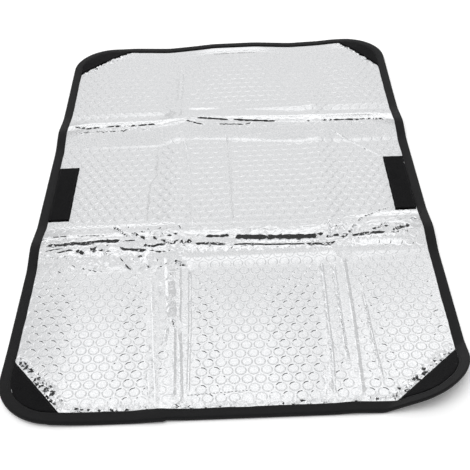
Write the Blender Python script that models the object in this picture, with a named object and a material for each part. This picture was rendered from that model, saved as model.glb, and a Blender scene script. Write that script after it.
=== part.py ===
"""Camper window shade, laid out with its silver side up.

A foil bubble sheet and a black cloth lie back to back. A folded tape is sewn
round their edge. Hook and loop patches sit on the silver face at the corners
and the long sides, and two more on the cloth. The shade is kept folded three
by three, so it lies with raised cross folds, soft lengthwise creases, waves
along its far edge and one corner that curls up with its stiff patch.

Units are metres and +Z is up. The sheet's centre is above the origin, +Y
points to the far short edge and the floor is at z = 0. Every piece is drawn
in plan first, at a height above the sheet's underside, and place() then lays
it over the folds.
"""

import math

import bmesh
import bpy
from mathutils import Vector
from mathutils.geometry import delaunay_2d_cdt

# Sheet as it is cut
SHEET_WIDTH = 0.405
CUT_LENGTH = 0.635
CORNER_RADIUS = 0.050
CORNER_STEPS = 8

# Layers, from the floor up
CLEARANCE = 0.0003
CLOTH_THICKNESS = 0.0005
FILM_THICKNESS = 0.0014
BUBBLE_PITCH = 0.0113
BUBBLE_RISE = 0.0016

# Folded edge tape, whose end laps over its start on the near edge
TAPE_WALL = 0.0008
TAPE_LEG = 0.0100
TAPE_ROUNDING = 0.0010
TAPE_LAP_RISE = 0.0005
TAPE_LAP_LENGTH = 0.0220
TAPE_LAP_END = -0.0570
TAPE_LAP_STEP = 0.0005

# Hook and loop patches on the silver face. A corner patch is a right angle
# with two legs, one along the short edge and one along the long edge.
PATCH_THICKNESS = 0.0013
CORNER_PATCH_LEGS = {
    "bottom_left": (0.046, 0.058),
    "bottom_right": (0.057, 0.053),
    "top_right": (0.045, 0.062),
    "top_left": (0.060, 0.051),
}
SIDE_PATCH_WIDTH = 0.0220
SIDE_PATCH_LENGTH = 0.0930
SIDE_PATCH_MIDDLE = {"left": -0.0025, "right": -0.0055}

# Patches sewn to the cloth near the middle of the short edges
BACK_PATCH_LENGTH = 0.0520
BACK_PATCH_WIDTH = 0.0200
BACK_PATCH_THICKNESS = 0.0008
BACK_PATCH_MIDDLE = {"top": 0.0065, "bottom": -0.0130}

# Lengthwise folds: low ridges, given across the sheet by foot, top and foot
LEFT_FOLD = (-0.080, -0.060, -0.0415)
RIGHT_FOLD = (0.082, 0.098, 0.120)
FOLD_RISE = 0.0020

# Cross folds: a long rise from the far side to a crest, then a short drop
# that breaks once on its way down. Each crest runs through four places.
RIDGE_HEIGHT = 0.0110
RIDGE_FAR_RUN = 0.0360
RIDGE_NEAR_RUN = 0.0290
RIDGE_BREAK_RUN = 0.0127
RIDGE_BREAK_HEIGHT = 0.0064
LOWER_CREST = {
    "left_side": -0.0950,
    "left_fold": -0.0965,
    "right_fold": -0.0995,
    "right_side": -0.0890,
}
UPPER_CREST = {
    "left_side": 0.1105,
    "left_fold": 0.1240,
    "right_fold": 0.1080,
    "right_side": 0.1055,
}

# Wave of the far edge: its heights off the floor, how far it reaches into the
# sheet, how it fades, and the level strip that it has beside a stiff patch
WAVE_LEFT = 0.0040
WAVE_BESIDE_LEFT_FOLD = 0.0040
WAVE_MIDDLE = 0.0068
WAVE_BESIDE_RIGHT_FOLD = 0.0012
WAVE_RIGHT = 0.0055
WAVE_DEPTH = 0.0820
WAVE_FADE = 0.0460
WAVE_SEAT = 0.0072
BACK_PATCH_SEAT = 0.0015

# The near right corner curls up along the long side of its patch
CURL_ANGLE = math.radians(28.0)
CURL_MARGIN = 0.0015

# How far each cross fold has flattened the bubbles before and behind its crest
LOWER_CRUSHED = (0.0127, 0.0220)
UPPER_CRUSHED = (0.0080, 0.0060)

# Creases run square to the edge in this band, and bubbles stay this far from
# a bent or clamped line
EDGE_BAND = 0.0140
SEAT_MARGIN = 0.0010
SEAT_LINE_OVERRUN = 0.0022
BUBBLE_MARGIN = 0.0033
DIMPLE_MARGIN = 0.0026
LINE_PITCH = 0.0200
SMALLEST_BEND = math.radians(1.2)

# Sizes that follow from the ones above
RIDGE_TAKE_UP = (
    math.hypot(RIDGE_FAR_RUN, RIDGE_HEIGHT) - RIDGE_FAR_RUN
    + math.hypot(RIDGE_NEAR_RUN, RIDGE_HEIGHT) - RIDGE_NEAR_RUN
)
HALF_WIDTH = SHEET_WIDTH / 2.0
HALF_LENGTH = CUT_LENGTH / 2.0 - RIDGE_TAKE_UP
BACK_LAYER = max(TAPE_WALL, BACK_PATCH_THICKNESS)
CLOTH_LOW = BACK_LAYER + CLEARANCE
CLOTH_HIGH = CLOTH_LOW + CLOTH_THICKNESS
FILM_LOW = CLOTH_HIGH + CLEARANCE
FILM_HIGH = FILM_LOW + FILM_THICKNESS
BUBBLE_TOP = FILM_HIGH + BUBBLE_RISE
TAPE_LOW = BACK_LAYER - TAPE_WALL
TAPE_HIGH = FILM_HIGH + CLEARANCE + TAPE_WALL
PATCH_LOW = FILM_HIGH + CLEARANCE
SHEET_INSET = TAPE_WALL + CLEARANCE
PATCH_INSET = TAPE_LEG + CLEARANCE
CLAMP_INSET = TAPE_LEG + SEAT_MARGIN
BACK_PATCH_INSET = PATCH_INSET + CLEARANCE
BACK_SEAT = BACK_PATCH_LENGTH / 2.0 + BACK_PATCH_SEAT
WAVE_LEFT_END = -HALF_WIDTH + PATCH_INSET + CORNER_PATCH_LEGS["top_left"][0] + WAVE_SEAT
WAVE_RIGHT_END = HALF_WIDTH - PATCH_INSET - CORNER_PATCH_LEGS["top_right"][0] - WAVE_SEAT
FAR_EDGE_WAVE = (
    (WAVE_LEFT_END, WAVE_LEFT),
    (LEFT_FOLD[0], 0.0),
    (LEFT_FOLD[1], 0.0),
    (LEFT_FOLD[2], WAVE_BESIDE_LEFT_FOLD),
    (BACK_PATCH_MIDDLE["top"] - BACK_SEAT, WAVE_MIDDLE),
    (BACK_PATCH_MIDDLE["top"] + BACK_SEAT, WAVE_MIDDLE),
    (RIGHT_FOLD[0], WAVE_BESIDE_RIGHT_FOLD),
    (RIGHT_FOLD[1], 0.0),
    (WAVE_RIGHT_END, WAVE_RIGHT),
)

# Plans are cut into triangles in millimetres, with this as the same point
PER_METRE = 1000.0
SAME_POINT = 0.001

# Sign of x, sign of y and first angle of each corner, anticlockwise
CORNERS = {
    "bottom_right": (1.0, -1.0, -90.0),
    "top_right": (1.0, 1.0, 0.0),
    "top_left": (-1.0, 1.0, 90.0),
    "bottom_left": (-1.0, -1.0, 180.0),
}


def between(knots, x):
    """Straight-line value at x through knots of (place, value)."""
    if x <= knots[0][0]:
        return knots[0][1]
    for (start, low), (end, high) in zip(knots, knots[1:]):
        if x <= end:
            return low + (high - low) * (x - start) / (end - start)
    return knots[-1][1]


def crest_at(crest, x):
    """Place of a cross fold's crest along the sheet, at x across it."""
    knots = (
        (LEFT_FOLD[0], crest["left_side"]),
        (LEFT_FOLD[-1], crest["left_fold"]),
        (RIGHT_FOLD[0], crest["right_fold"]),
        (HALF_WIDTH - EDGE_BAND, crest["right_side"]),
    )
    return between(knots, x)


def ridge_profile(crest_y):
    """The rows of one cross fold, from its near foot to its far foot."""
    return [
        (crest_y - RIDGE_NEAR_RUN, 0.0),
        (crest_y - RIDGE_BREAK_RUN, RIDGE_BREAK_HEIGHT),
        (crest_y, RIDGE_HEIGHT),
        (crest_y + RIDGE_FAR_RUN, 0.0),
    ]


def column_profile(x):
    """Points of (y, z) along the sheet at x, from the near to the far edge."""
    wave = between(FAR_EDGE_WAVE, x)
    on_fold = x in (LEFT_FOLD[1], RIGHT_FOLD[1])
    floor = FOLD_RISE if on_fold else 0.0
    rows = [(-HALF_LENGTH, 0.0), (-HALF_LENGTH + EDGE_BAND, 0.0)]
    rows += ridge_profile(crest_at(LOWER_CREST, x))
    rows += ridge_profile(crest_at(UPPER_CREST, x))
    rows.append((HALF_LENGTH - WAVE_DEPTH - WAVE_FADE, 0.0))
    rows.append((HALF_LENGTH - WAVE_DEPTH, wave))
    rows.append((HALF_LENGTH - EDGE_BAND, wave))
    rows.append((HALF_LENGTH, wave))
    return [(y, max(z, floor)) for y, z in rows]


COLUMNS = sorted([
    -HALF_WIDTH, -HALF_WIDTH + EDGE_BAND,
    *(place for place, height in FAR_EDGE_WAVE), RIGHT_FOLD[2],
    HALF_WIDTH - EDGE_BAND, HALF_WIDTH,
])
NET = [[(x, y, z) for y, z in column_profile(x)] for x in COLUMNS]


def height_on(corners, x, y):
    """Height at x, y of the plane through three points."""
    (ax, ay, az), (bx, by, bz), (cx, cy, cz) = corners
    area = (bx - ax) * (cy - ay) - (cx - ax) * (by - ay)
    to_b = ((x - ax) * (cy - ay) - (cx - ax) * (y - ay)) / area
    to_c = ((bx - ax) * (y - ay) - (x - ax) * (by - ay)) / area
    return az + to_b * (bz - az) + to_c * (cz - az)


def row_at(left, right, row, x):
    """Place along the sheet of a row between two columns of the net."""
    share = (x - left[row][0]) / (right[row][0] - left[row][0])
    return left[row][1] + share * (right[row][1] - left[row][1])


def drape(x, y):
    """Height of the sheet's underside above the floor, before the curl."""
    column = 0
    while column < len(NET) - 2 and x > COLUMNS[column + 1]:
        column += 1
    left, right = NET[column], NET[column + 1]
    row = 0
    while row < len(left) - 2 and y > row_at(left, right, row + 1, x):
        row += 1
    near_left, near_right = left[row], right[row]
    far_left, far_right = left[row + 1], right[row + 1]
    share = (x - near_left[0]) / (near_right[0] - near_left[0])
    diagonal_y = near_left[1] + share * (far_right[1] - near_left[1])
    if y < diagonal_y:
        return height_on((near_left, near_right, far_right), x, y)
    return height_on((near_left, far_right, far_left), x, y)


def patch_corner(name):
    """Corner where the tape's inner edges would meet if it were square."""
    across, along, _ = CORNERS[name]
    return Vector((across * (HALF_WIDTH - PATCH_INSET), along * (HALF_LENGTH - PATCH_INSET)))


def patch_slant(name, margin=0.0):
    """Point, direction and outward normal of a corner patch's long side."""
    across, along, _ = CORNERS[name]
    leg_x, leg_y = CORNER_PATCH_LEGS[name]
    corner = patch_corner(name)
    on_short_edge = corner - Vector((across * leg_x, 0.0))
    on_long_edge = corner - Vector((0.0, along * leg_y))
    direction = (on_long_edge - on_short_edge).normalized()
    outward = Vector((direction.y, -direction.x)) * -(across * along)
    return on_short_edge - outward * margin, direction, outward


CURL_POINT, CURL_LINE, CURL_OUTWARD = patch_slant("bottom_right", CURL_MARGIN)


def place(x, y, height):
    """Lay a point of the plan, at a height over the underside, on the folds."""
    lift = drape(x, y)
    beyond = (Vector((x, y)) - CURL_POINT).dot(CURL_OUTWARD)
    if beyond > 0.0:
        draw_in = beyond * (1.0 - math.cos(CURL_ANGLE))
        x -= CURL_OUTWARD.x * draw_in
        y -= CURL_OUTWARD.y * draw_in
        lift += beyond * math.sin(CURL_ANGLE)
    return Vector((x, y, lift + height))


def corner_centre(name):
    """Centre of a corner's rounding, the same for every inset."""
    across, along, _ = CORNERS[name]
    return Vector((across * (HALF_WIDTH - CORNER_RADIUS), along * (HALF_LENGTH - CORNER_RADIUS)))


def corner_directions(name):
    """Unit vectors from a corner's centre to the points of its arc."""
    start = CORNERS[name][2]
    angles = [math.radians(start + 90.0 * step / CORNER_STEPS) for step in range(CORNER_STEPS + 1)]
    return [Vector((math.cos(angle), math.sin(angle))) for angle in angles]


def rim_loop(inset):
    """Rounded outline at an inset from the tape's outside, anticlockwise."""
    radius = CORNER_RADIUS - inset
    return [
        corner_centre(name) + direction * radius
        for name in CORNERS
        for direction in corner_directions(name)
    ]


def rim_depth(x, y):
    """Distance of a point inwards from the tape's outside."""
    over_x = abs(x) - (HALF_WIDTH - CORNER_RADIUS)
    over_y = abs(y) - (HALF_LENGTH - CORNER_RADIUS)
    if over_x > 0.0 and over_y > 0.0:
        return CORNER_RADIUS - math.hypot(over_x, over_y)
    return min(HALF_WIDTH - abs(x), HALF_LENGTH - abs(y))


def triangulate(outline, lines=(), points=()):
    """Cut an outline into triangles whose edges hold the given lines.

    Returns the corner points, the triangles and, for each point of the
    outline and then each of the points, its place among the corner points.
    """
    corners = [point * PER_METRE for point in outline]
    corners += [point * PER_METRE for point in points]
    ring = list(range(len(outline)))
    edges = []
    for start, end in lines:
        edges.append((len(corners), len(corners) + 1))
        corners += [start * PER_METRE, end * PER_METRE]
    found = delaunay_2d_cdt(corners, edges, [ring], 1, SAME_POINT)
    places, _, faces, sources, _, face_sources = found
    triangles = [face for face, source in zip(faces, face_sources) if source]
    where = {}
    for index, source in enumerate(sources):
        for original in source:
            where[original] = index
    kept = [where[index] for index in range(len(outline) + len(points))]
    return [point / PER_METRE for point in places], triangles, kept


def boundary_loop(triangles):
    """Corner numbers round the outside of a set of triangles, in order."""
    following = {}
    directed = {(face[i], face[(i + 1) % 3]) for face in triangles for i in range(3)}
    for start, end in directed:
        if (end, start) not in directed:
            following[start] = end
    first = min(following)
    loop = [first]
    while following[loop[-1]] != first:
        loop.append(following[loop[-1]])
    return loop


def net_lines():
    """Every line of the net, with the diagonal of each of its cells."""
    flat = [[Vector((x, y)) for x, y, z in column] for column in NET]
    lines = [line for column in flat for line in zip(column, column[1:])]
    for left, right in zip(flat, flat[1:]):
        lines += list(zip(left, right))
        lines += list(zip(left, right[1:]))
    reach = CURL_LINE * SHEET_WIDTH
    lines.append((CURL_POINT - reach, CURL_POINT + reach))
    return lines


def bent_lines(points, triangles):
    """Edges of a laid sheet that two triangles meet at with a bend."""
    laid = [place(point.x, point.y, 0.0) for point in points]
    normals = {}
    for face in triangles:
        a, b, c = (laid[index] for index in face)
        normal = (b - a).cross(c - a).normalized()
        for i in range(3):
            edge = frozenset((face[i], face[(i + 1) % 3]))
            normals.setdefault(edge, []).append(normal)
    lines = []
    for edge, sides in normals.items():
        if len(sides) == 2 and sides[0].angle(sides[1]) > SMALLEST_BEND:
            start, end = sorted(edge)
            lines.append((points[start], points[end]))
    return lines


def finish_object(name, mesh_builder, colour, roughness, metallic=0.0, smooth_below=None):
    """Turn a bmesh into a named object with a material of its own."""
    bmesh.ops.recalc_face_normals(mesh_builder, faces=mesh_builder.faces)
    mesh = bpy.data.meshes.new(name)
    mesh_builder.to_mesh(mesh)
    mesh_builder.free()
    if smooth_below is not None:
        mesh.shade_smooth()
        mesh.set_sharp_from_angle(angle=smooth_below)
    material = bpy.data.materials.new(name)
    material.use_nodes = True
    shader = material.node_tree.nodes["Principled BSDF"]
    shader.inputs["Base Color"].default_value = (*colour, 1.0)
    shader.inputs["Roughness"].default_value = roughness
    shader.inputs["Metallic"].default_value = metallic
    mesh.materials.append(material)
    thing = bpy.data.objects.new(name, mesh)
    bpy.context.scene.collection.objects.link(thing)
    return thing


def sheet_body(low, high, lines=(), points=(), point_heights=()):
    """A sheet inside the tape, creased by the net, as one closed bmesh.

    The points are extra corners of the upper face, each with a height.
    """
    plan, under, _ = triangulate(rim_loop(SHEET_INSET), net_lines())
    loop = boundary_loop(under)
    outline = [plan[index] for index in loop]
    if points:
        lines = divided([*bent_lines(plan, under), *lines])
    else:
        lines = bent_lines(plan, under)
    plan_over, over, kept = triangulate(outline, lines, points)

    heights = [high] * len(plan_over)
    for index, height in zip(kept[len(outline):], point_heights):
        heights[index] = height

    builder = bmesh.new()
    low_corners = [builder.verts.new(place(p.x, p.y, low)) for p in plan]
    high_corners = [
        builder.verts.new(place(p.x, p.y, height)) for p, height in zip(plan_over, heights)
    ]
    for face in under:
        builder.faces.new([low_corners[index] for index in reversed(face)])
    for face in over:
        builder.faces.new([high_corners[index] for index in face])
    rim_low = [low_corners[index] for index in loop]
    rim_high = [high_corners[index] for index in kept[:len(outline)]]
    for index, corner in enumerate(rim_low):
        after = (index + 1) % len(rim_low)
        builder.faces.new((corner, rim_low[after], rim_high[after], rim_high[index]))
    return builder


def divided(lines):
    """The same lines in equal pieces no longer than the line pitch."""
    pieces = []
    for start, end in lines:
        count = math.ceil((end - start).length / LINE_PITCH)
        stops = [start.lerp(end, step / count) for step in range(count + 1)]
        pieces += list(zip(stops, stops[1:]))
    return pieces


def seat_lines():
    """Lines that press the film down: the tape's inner edge and the patches."""
    clamp = rim_loop(CLAMP_INSET)
    lines = list(zip(clamp, clamp[1:] + clamp[:1]))
    for name in CORNERS:
        point, direction, _ = patch_slant(name, SEAT_MARGIN)
        length = math.hypot(*CORNER_PATCH_LEGS[name])
        lines.append((
            point - direction * SEAT_LINE_OVERRUN,
            point + direction * (length + SEAT_LINE_OVERRUN),
        ))
    for side, sign in (("left", -1.0), ("right", 1.0)):
        outer = sign * (HALF_WIDTH - CLAMP_INSET)
        inner = sign * (HALF_WIDTH - PATCH_INSET - SIDE_PATCH_WIDTH - SEAT_MARGIN)
        half = SIDE_PATCH_LENGTH / 2.0 + SEAT_MARGIN
        middle = SIDE_PATCH_MIDDLE[side]
        frame = [
            Vector((outer, middle - half)), Vector((inner, middle - half)),
            Vector((inner, middle + half)), Vector((outer, middle + half)),
        ]
        lines += list(zip(frame, frame[1:]))
    return lines


def is_pressed(point):
    """True where a patch or the tape presses the film flat."""
    if rim_depth(point.x, point.y) < CLAMP_INSET:
        return True
    for name, (across, along, _) in CORNERS.items():
        start, _, outward = patch_slant(name, SEAT_MARGIN)
        if (point - start).dot(outward) > 0.0 and point.x * across > 0.0 and point.y * along > 0.0:
            return True
    side = "left" if point.x < 0.0 else "right"
    inner = HALF_WIDTH - PATCH_INSET - SIDE_PATCH_WIDTH - SEAT_MARGIN
    half = SIDE_PATCH_LENGTH / 2.0 + SEAT_MARGIN
    return abs(point.x) > inner and abs(point.y - SIDE_PATCH_MIDDLE[side]) < half


def is_crushed(point):
    """True in the strips that folding has flattened.

    Each cross fold has one along its crest, and the lengthwise folds have
    flattened the near panels only.
    """
    for crest, (before, behind) in ((LOWER_CREST, LOWER_CRUSHED), (UPPER_CREST, UPPER_CRUSHED)):
        if -before < point.y - crest_at(crest, point.x) < behind:
            return True
    on_fold = any(fold[0] < point.x < fold[-1] for fold in (LEFT_FOLD, RIGHT_FOLD))
    return on_fold and point.y < crest_at(LOWER_CREST, point.x)


def clear_of(point, lines, margin):
    """True if a point keeps a margin from every line."""
    for start, end in lines:
        along = end - start
        share = max(0.0, min(1.0, (point - start).dot(along) / along.length_squared))
        if (start + along * share - point).length_squared < margin * margin:
            return False
    return True


def bubble_points(lines):
    """Tops of the bubbles and the dimples between them, on one honeycomb."""
    row_pitch = BUBBLE_PITCH * math.sqrt(3.0) / 2.0
    to_dimple = BUBBLE_PITCH / math.sqrt(3.0)
    rows = int(HALF_LENGTH / row_pitch) + 1
    columns = int(HALF_WIDTH / BUBBLE_PITCH) + 1
    tops, dimples = [], []
    for row in range(-rows, rows + 1):
        stagger = BUBBLE_PITCH / 2.0 if row % 2 else 0.0
        for column in range(-columns, columns + 1):
            top = Vector((column * BUBBLE_PITCH + stagger, row * row_pitch))
            tops.append(top)
            dimples += [top + Vector((0.0, to_dimple)), top - Vector((0.0, to_dimple))]

    def allowed(point, margin):
        if is_pressed(point) or is_crushed(point):
            return False
        return clear_of(point, lines, margin)

    tops = [point for point in tops if allowed(point, BUBBLE_MARGIN)]
    dimples = [point for point in dimples if allowed(point, DIMPLE_MARGIN)]
    reach = to_dimple + SEAT_MARGIN
    used = {}
    for point in tops:
        used.setdefault((round(point.x / BUBBLE_PITCH), round(point.y / row_pitch)), []).append(point)
    near_a_top = []
    for point in dimples:
        cell = (round(point.x / BUBBLE_PITCH), round(point.y / row_pitch))
        close = [
            other
            for step_x in (-1, 0, 1)
            for step_y in (-1, 0, 1)
            for other in used.get((cell[0] + step_x, cell[1] + step_y), ())
        ]
        if any((other - point).length < reach for other in close):
            near_a_top.append(point)
    return tops, near_a_top


def make_foil_panel():
    """Foil bubble sheet: flat film under a honeycomb of low bubbles."""
    plan, under, _ = triangulate(rim_loop(SHEET_INSET), net_lines())
    seats = seat_lines()
    tops, dimples = bubble_points(bent_lines(plan, under) + seats)
    heights = [BUBBLE_TOP] * len(tops) + [FILM_HIGH] * len(dimples)
    builder = sheet_body(FILM_LOW, FILM_HIGH, seats, tops + dimples, heights)
    finish_object("foil_bubble_panel", builder, (0.72, 0.73, 0.74), 0.22, 1.0, math.radians(35.0))


def make_backing_cloth():
    """Black cloth that backs the whole foil sheet."""
    builder = sheet_body(CLOTH_LOW, CLOTH_HIGH)
    finish_object("backing_cloth", builder, (0.008, 0.008, 0.009), 0.9)


def edge_stations():
    """Sections of the tape in order round the sheet.

    Each is an outer point and the vector that leads 1 m inwards from it. The
    vector leans where the section has to follow the curl's crease.
    """
    row_places = [y for x, y, z in NET[0]]
    far_rows = [y for x, y, z in NET[-1]]
    straight_x = HALF_WIDTH - CORNER_RADIUS
    straight_y = HALF_LENGTH - CORNER_RADIUS
    columns = [x for x in COLUMNS if abs(x) < straight_x]
    lap = [
        TAPE_LAP_END - TAPE_LAP_LENGTH - TAPE_LAP_STEP, TAPE_LAP_END - TAPE_LAP_LENGTH,
        TAPE_LAP_END, TAPE_LAP_END + TAPE_LAP_STEP,
    ]
    up, left = Vector((0.0, 1.0)), Vector((-1.0, 0.0))

    lean = CURL_LINE / CURL_LINE.y
    curl_x = (CURL_POINT - lean * (CURL_POINT.y + HALF_LENGTH)).x
    near_side = [(x, up) for x in [*columns, *lap]] + [(curl_x, lean)]
    stations = [(Vector((x, -HALF_LENGTH)), inward) for x, inward in sorted(near_side, key=first)]

    stations += arc_stations("bottom_right")
    lean = -CURL_LINE / CURL_LINE.x
    curl_y = (CURL_POINT - lean * (HALF_WIDTH - CURL_POINT.x)).y
    right_side = [(y, left) for y in far_rows if abs(y) < straight_y] + [(curl_y, lean)]
    stations += [(Vector((HALF_WIDTH, y)), inward) for y, inward in sorted(right_side, key=first)]

    stations += arc_stations("top_right")
    stations += [(Vector((x, HALF_LENGTH)), -up) for x in reversed(columns)]
    stations += arc_stations("top_left")
    left_side = [y for y in reversed(row_places) if abs(y) < straight_y]
    stations += [(Vector((-HALF_WIDTH, y)), -left) for y in left_side]
    stations += arc_stations("bottom_left")
    return stations


def first(pair):
    """The place of a station along its side, to sort by."""
    return pair[0]


def arc_stations(name):
    """Sections of the tape round one corner."""
    return [
        (corner_centre(name) + direction * CORNER_RADIUS, -direction)
        for direction in corner_directions(name)
    ]


def tape_section(lap_rise):
    """Folded tape as (depth, height) points, starting under its lower leg."""
    return [
        (TAPE_LEG, TAPE_LOW),
        (TAPE_ROUNDING, TAPE_LOW),
        (0.0, TAPE_LOW + TAPE_ROUNDING),
        (0.0, TAPE_HIGH - TAPE_ROUNDING),
        (TAPE_ROUNDING, TAPE_HIGH + lap_rise),
        (TAPE_LEG, TAPE_HIGH + lap_rise),
        (TAPE_LEG, TAPE_HIGH - TAPE_WALL),
        (TAPE_WALL, TAPE_HIGH - TAPE_WALL),
        (TAPE_WALL, TAPE_LOW + TAPE_WALL),
        (TAPE_LEG, TAPE_LOW + TAPE_WALL),
    ]


def make_edge_binding():
    """Tape folded over the edge all the way round, lapped on itself once."""
    builder = bmesh.new()
    rings = []
    for outer, inward in edge_stations():
        start = TAPE_LAP_END - TAPE_LAP_LENGTH
        on_near_side = outer.y == -HALF_LENGTH
        lapped = on_near_side and start <= outer.x <= TAPE_LAP_END
        ring = []
        for depth, height in tape_section(TAPE_LAP_RISE if lapped else 0.0):
            point = outer + inward * depth
            ring.append(builder.verts.new(place(point.x, point.y, height)))
        rings.append(ring)
    for ring, after in zip(rings, rings[1:] + rings[:1]):
        for index in range(len(ring)):
            other = (index + 1) % len(ring)
            builder.faces.new((ring[index], ring[other], after[other], after[index]))
    finish_object("edge_binding", builder, (0.018, 0.018, 0.019), 0.8)


def plate(name, outline, low, high, colour, roughness):
    """A flat piece: its outline as one face, extruded from low to high."""
    builder = bmesh.new()
    face = builder.faces.new([builder.verts.new(place(p.x, p.y, low)) for p in outline])
    grown = bmesh.ops.extrude_face_region(builder, geom=[face])
    raised = [item for item in grown["geom"] if isinstance(item, bmesh.types.BMVert)]
    bmesh.ops.translate(builder, verts=raised, vec=(0.0, 0.0, high - low))
    return finish_object(name, builder, colour, roughness)


def make_corner_patch(name):
    """Triangular patch with its outer corner rounded to fit inside the tape."""
    across, along, _ = CORNERS[name]
    leg_x, leg_y = CORNER_PATCH_LEGS[name]
    corner = patch_corner(name)
    arc = [
        corner_centre(name) + direction * (CORNER_RADIUS - PATCH_INSET)
        for direction in corner_directions(name)
    ]
    ends = [corner - Vector((across * leg_x, 0.0)), corner - Vector((0.0, along * leg_y))]
    if across * along > 0.0:
        ends.reverse()
    outline = [ends[0], *arc, ends[1]]
    high = PATCH_LOW + PATCH_THICKNESS
    plate(f"corner_patch_{name}", outline, PATCH_LOW, high, (0.010, 0.010, 0.011), 0.95)


def make_side_patch(side, sign):
    """Long patch beside the tape at the middle of a long edge."""
    outer = sign * (HALF_WIDTH - PATCH_INSET)
    inner = outer - sign * SIDE_PATCH_WIDTH
    near = SIDE_PATCH_MIDDLE[side] - SIDE_PATCH_LENGTH / 2.0
    far = near + SIDE_PATCH_LENGTH
    outline = [Vector(xy) for xy in ((outer, near), (outer, far), (inner, far), (inner, near))]
    high = PATCH_LOW + PATCH_THICKNESS
    plate(f"side_patch_{side}", outline, PATCH_LOW, high, (0.010, 0.010, 0.011), 0.95)


def make_back_patch(end, sign):
    """Patch on the cloth, beside the tape at the middle of a short edge."""
    outer = sign * (HALF_LENGTH - BACK_PATCH_INSET)
    inner = outer - sign * BACK_PATCH_WIDTH
    left = BACK_PATCH_MIDDLE[end] - BACK_PATCH_LENGTH / 2.0
    right = left + BACK_PATCH_LENGTH
    outline = [Vector(xy) for xy in ((left, outer), (right, outer), (right, inner), (left, inner))]
    high = CLOTH_LOW - CLEARANCE
    low = high - BACK_PATCH_THICKNESS
    plate(f"back_patch_{end}", outline, low, high, (0.010, 0.010, 0.011), 0.95)


def main():
    """Build the shade from the cloth up."""
    for thing in list(bpy.data.objects):
        bpy.data.objects.remove(thing)
    make_backing_cloth()
    make_foil_panel()
    make_edge_binding()
    for name in CORNERS:
        make_corner_patch(name)
    for side, sign in (("left", -1.0), ("right", 1.0)):
        make_side_patch(side, sign)
    for end, sign in (("bottom", -1.0), ("top", 1.0)):
        make_back_patch(end, sign)


main()
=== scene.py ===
"""Looks of a camper window shade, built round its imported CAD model.

The shade lies flat with its silver side up. Each piece is built in plan, at a
height above the sheet's underside, and the Drape then lays it over the folds
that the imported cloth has. Places measured on the photograph are kept as they
are seen over the floor, in millimetres from the sheet's centre, and are moved
under the line of sight of the camera.
"""

import logging
import math
from collections.abc import Sequence
from dataclasses import dataclass, field
from enum import Enum

import bpy
import numpy as np
from mathutils import Matrix, Vector
from mathutils.bvhtree import BVHTree
from mathutils.geometry import delaunay_2d_cdt


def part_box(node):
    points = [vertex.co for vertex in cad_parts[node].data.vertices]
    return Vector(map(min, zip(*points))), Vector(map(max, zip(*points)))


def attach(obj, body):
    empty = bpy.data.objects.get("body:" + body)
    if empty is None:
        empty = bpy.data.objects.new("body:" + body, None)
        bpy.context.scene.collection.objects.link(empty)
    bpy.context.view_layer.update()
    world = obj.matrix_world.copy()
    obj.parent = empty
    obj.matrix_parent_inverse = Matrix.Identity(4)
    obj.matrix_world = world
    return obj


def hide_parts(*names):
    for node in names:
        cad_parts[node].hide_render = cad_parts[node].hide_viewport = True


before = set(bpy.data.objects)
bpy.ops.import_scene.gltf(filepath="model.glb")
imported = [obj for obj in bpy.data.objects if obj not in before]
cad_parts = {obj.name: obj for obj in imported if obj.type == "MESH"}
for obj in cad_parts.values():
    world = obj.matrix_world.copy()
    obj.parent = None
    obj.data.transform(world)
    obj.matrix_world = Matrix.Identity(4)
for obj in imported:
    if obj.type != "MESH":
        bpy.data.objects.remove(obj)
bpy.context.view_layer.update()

log = logging.getLogger("window_shade")

MM = 0.001
BODY = "root"

# Heights above the sheet's underside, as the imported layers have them
CLOTH_LOW = 1.1 * MM
CLOTH_HIGH = 1.6 * MM
FILM_LOW = 1.9 * MM
FILM_HIGH = 3.3 * MM
PATCH_LOW = 3.6 * MM
PATCH_HIGH = 4.9 * MM
TAPE_HIGH = 4.4 * MM
CREASED_HIGH = FILM_HIGH + 0.3 * MM

# Insets from the outside of the binding
FILM_INSET = 1.3 * MM
TAPE_WIDTH = 10.0 * MM
PATCH_INSET = 10.3 * MM

# Corners as sides across and along, anticlockwise, with the angle at which each rounding starts
CORNER_STARTS = {(1, -1): -90.0, (1, 1): 0.0, (-1, 1): 90.0, (-1, -1): 180.0}


class Slot(Enum):
    """Material slots of the record."""

    FOIL = "foil_film"
    CLOTH = "backing_cloth"
    TAPE = "edge_tape"
    LOOP = "hook_and_loop"


def linear(hex_colour: str) -> tuple[float, float, float, float]:
    """Turn an sRGB hex colour into linear light.

    Args:
        hex_colour: Six hex digits, with or without a leading hash sign.

    Returns:
        Red, green, blue and an alpha of 1.
    """
    digits = hex_colour.lstrip("#")
    shares = [int(digits[i:i + 2], 16) / 255.0 for i in (0, 2, 4)]
    light = [s / 12.92 if s <= 0.04045 else ((s + 0.055) / 1.055) ** 2.4 for s in shares]
    return (light[0], light[1], light[2], 1.0)


def add_node(tree: bpy.types.NodeTree, kind: str, settings: dict | None = None,
             links: dict | None = None) -> bpy.types.Node:
    """Add one node to a tree, set it and link it.

    Args:
        tree: The node tree.
        kind: The node's type name.
        settings: Attributes by name, and values of inputs by number or name.
        links: Output sockets of other nodes, by this node's input.

    Returns:
        The new node.
    """
    node = tree.nodes.new(kind)
    for key, value in (settings or {}).items():
        if isinstance(key, str) and hasattr(node, key):
            setattr(node, key, value)
        else:
            node.inputs[key].default_value = value
    for key, socket in (links or {}).items():
        tree.links.new(socket, node.inputs[key])
    return node


def start_material(name: str, settings: dict) -> tuple[bpy.types.Material, bpy.types.Node]:
    """Start a node material.

    Args:
        name: What the material is.
        settings: Values of its shader's inputs.

    Returns:
        The material and its shader.
    """
    material = bpy.data.materials.new(name)
    material.use_nodes = True
    shader = material.node_tree.nodes["Principled BSDF"]
    for key, value in settings.items():
        shader.inputs[key].default_value = value
    return material, shader


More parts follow.
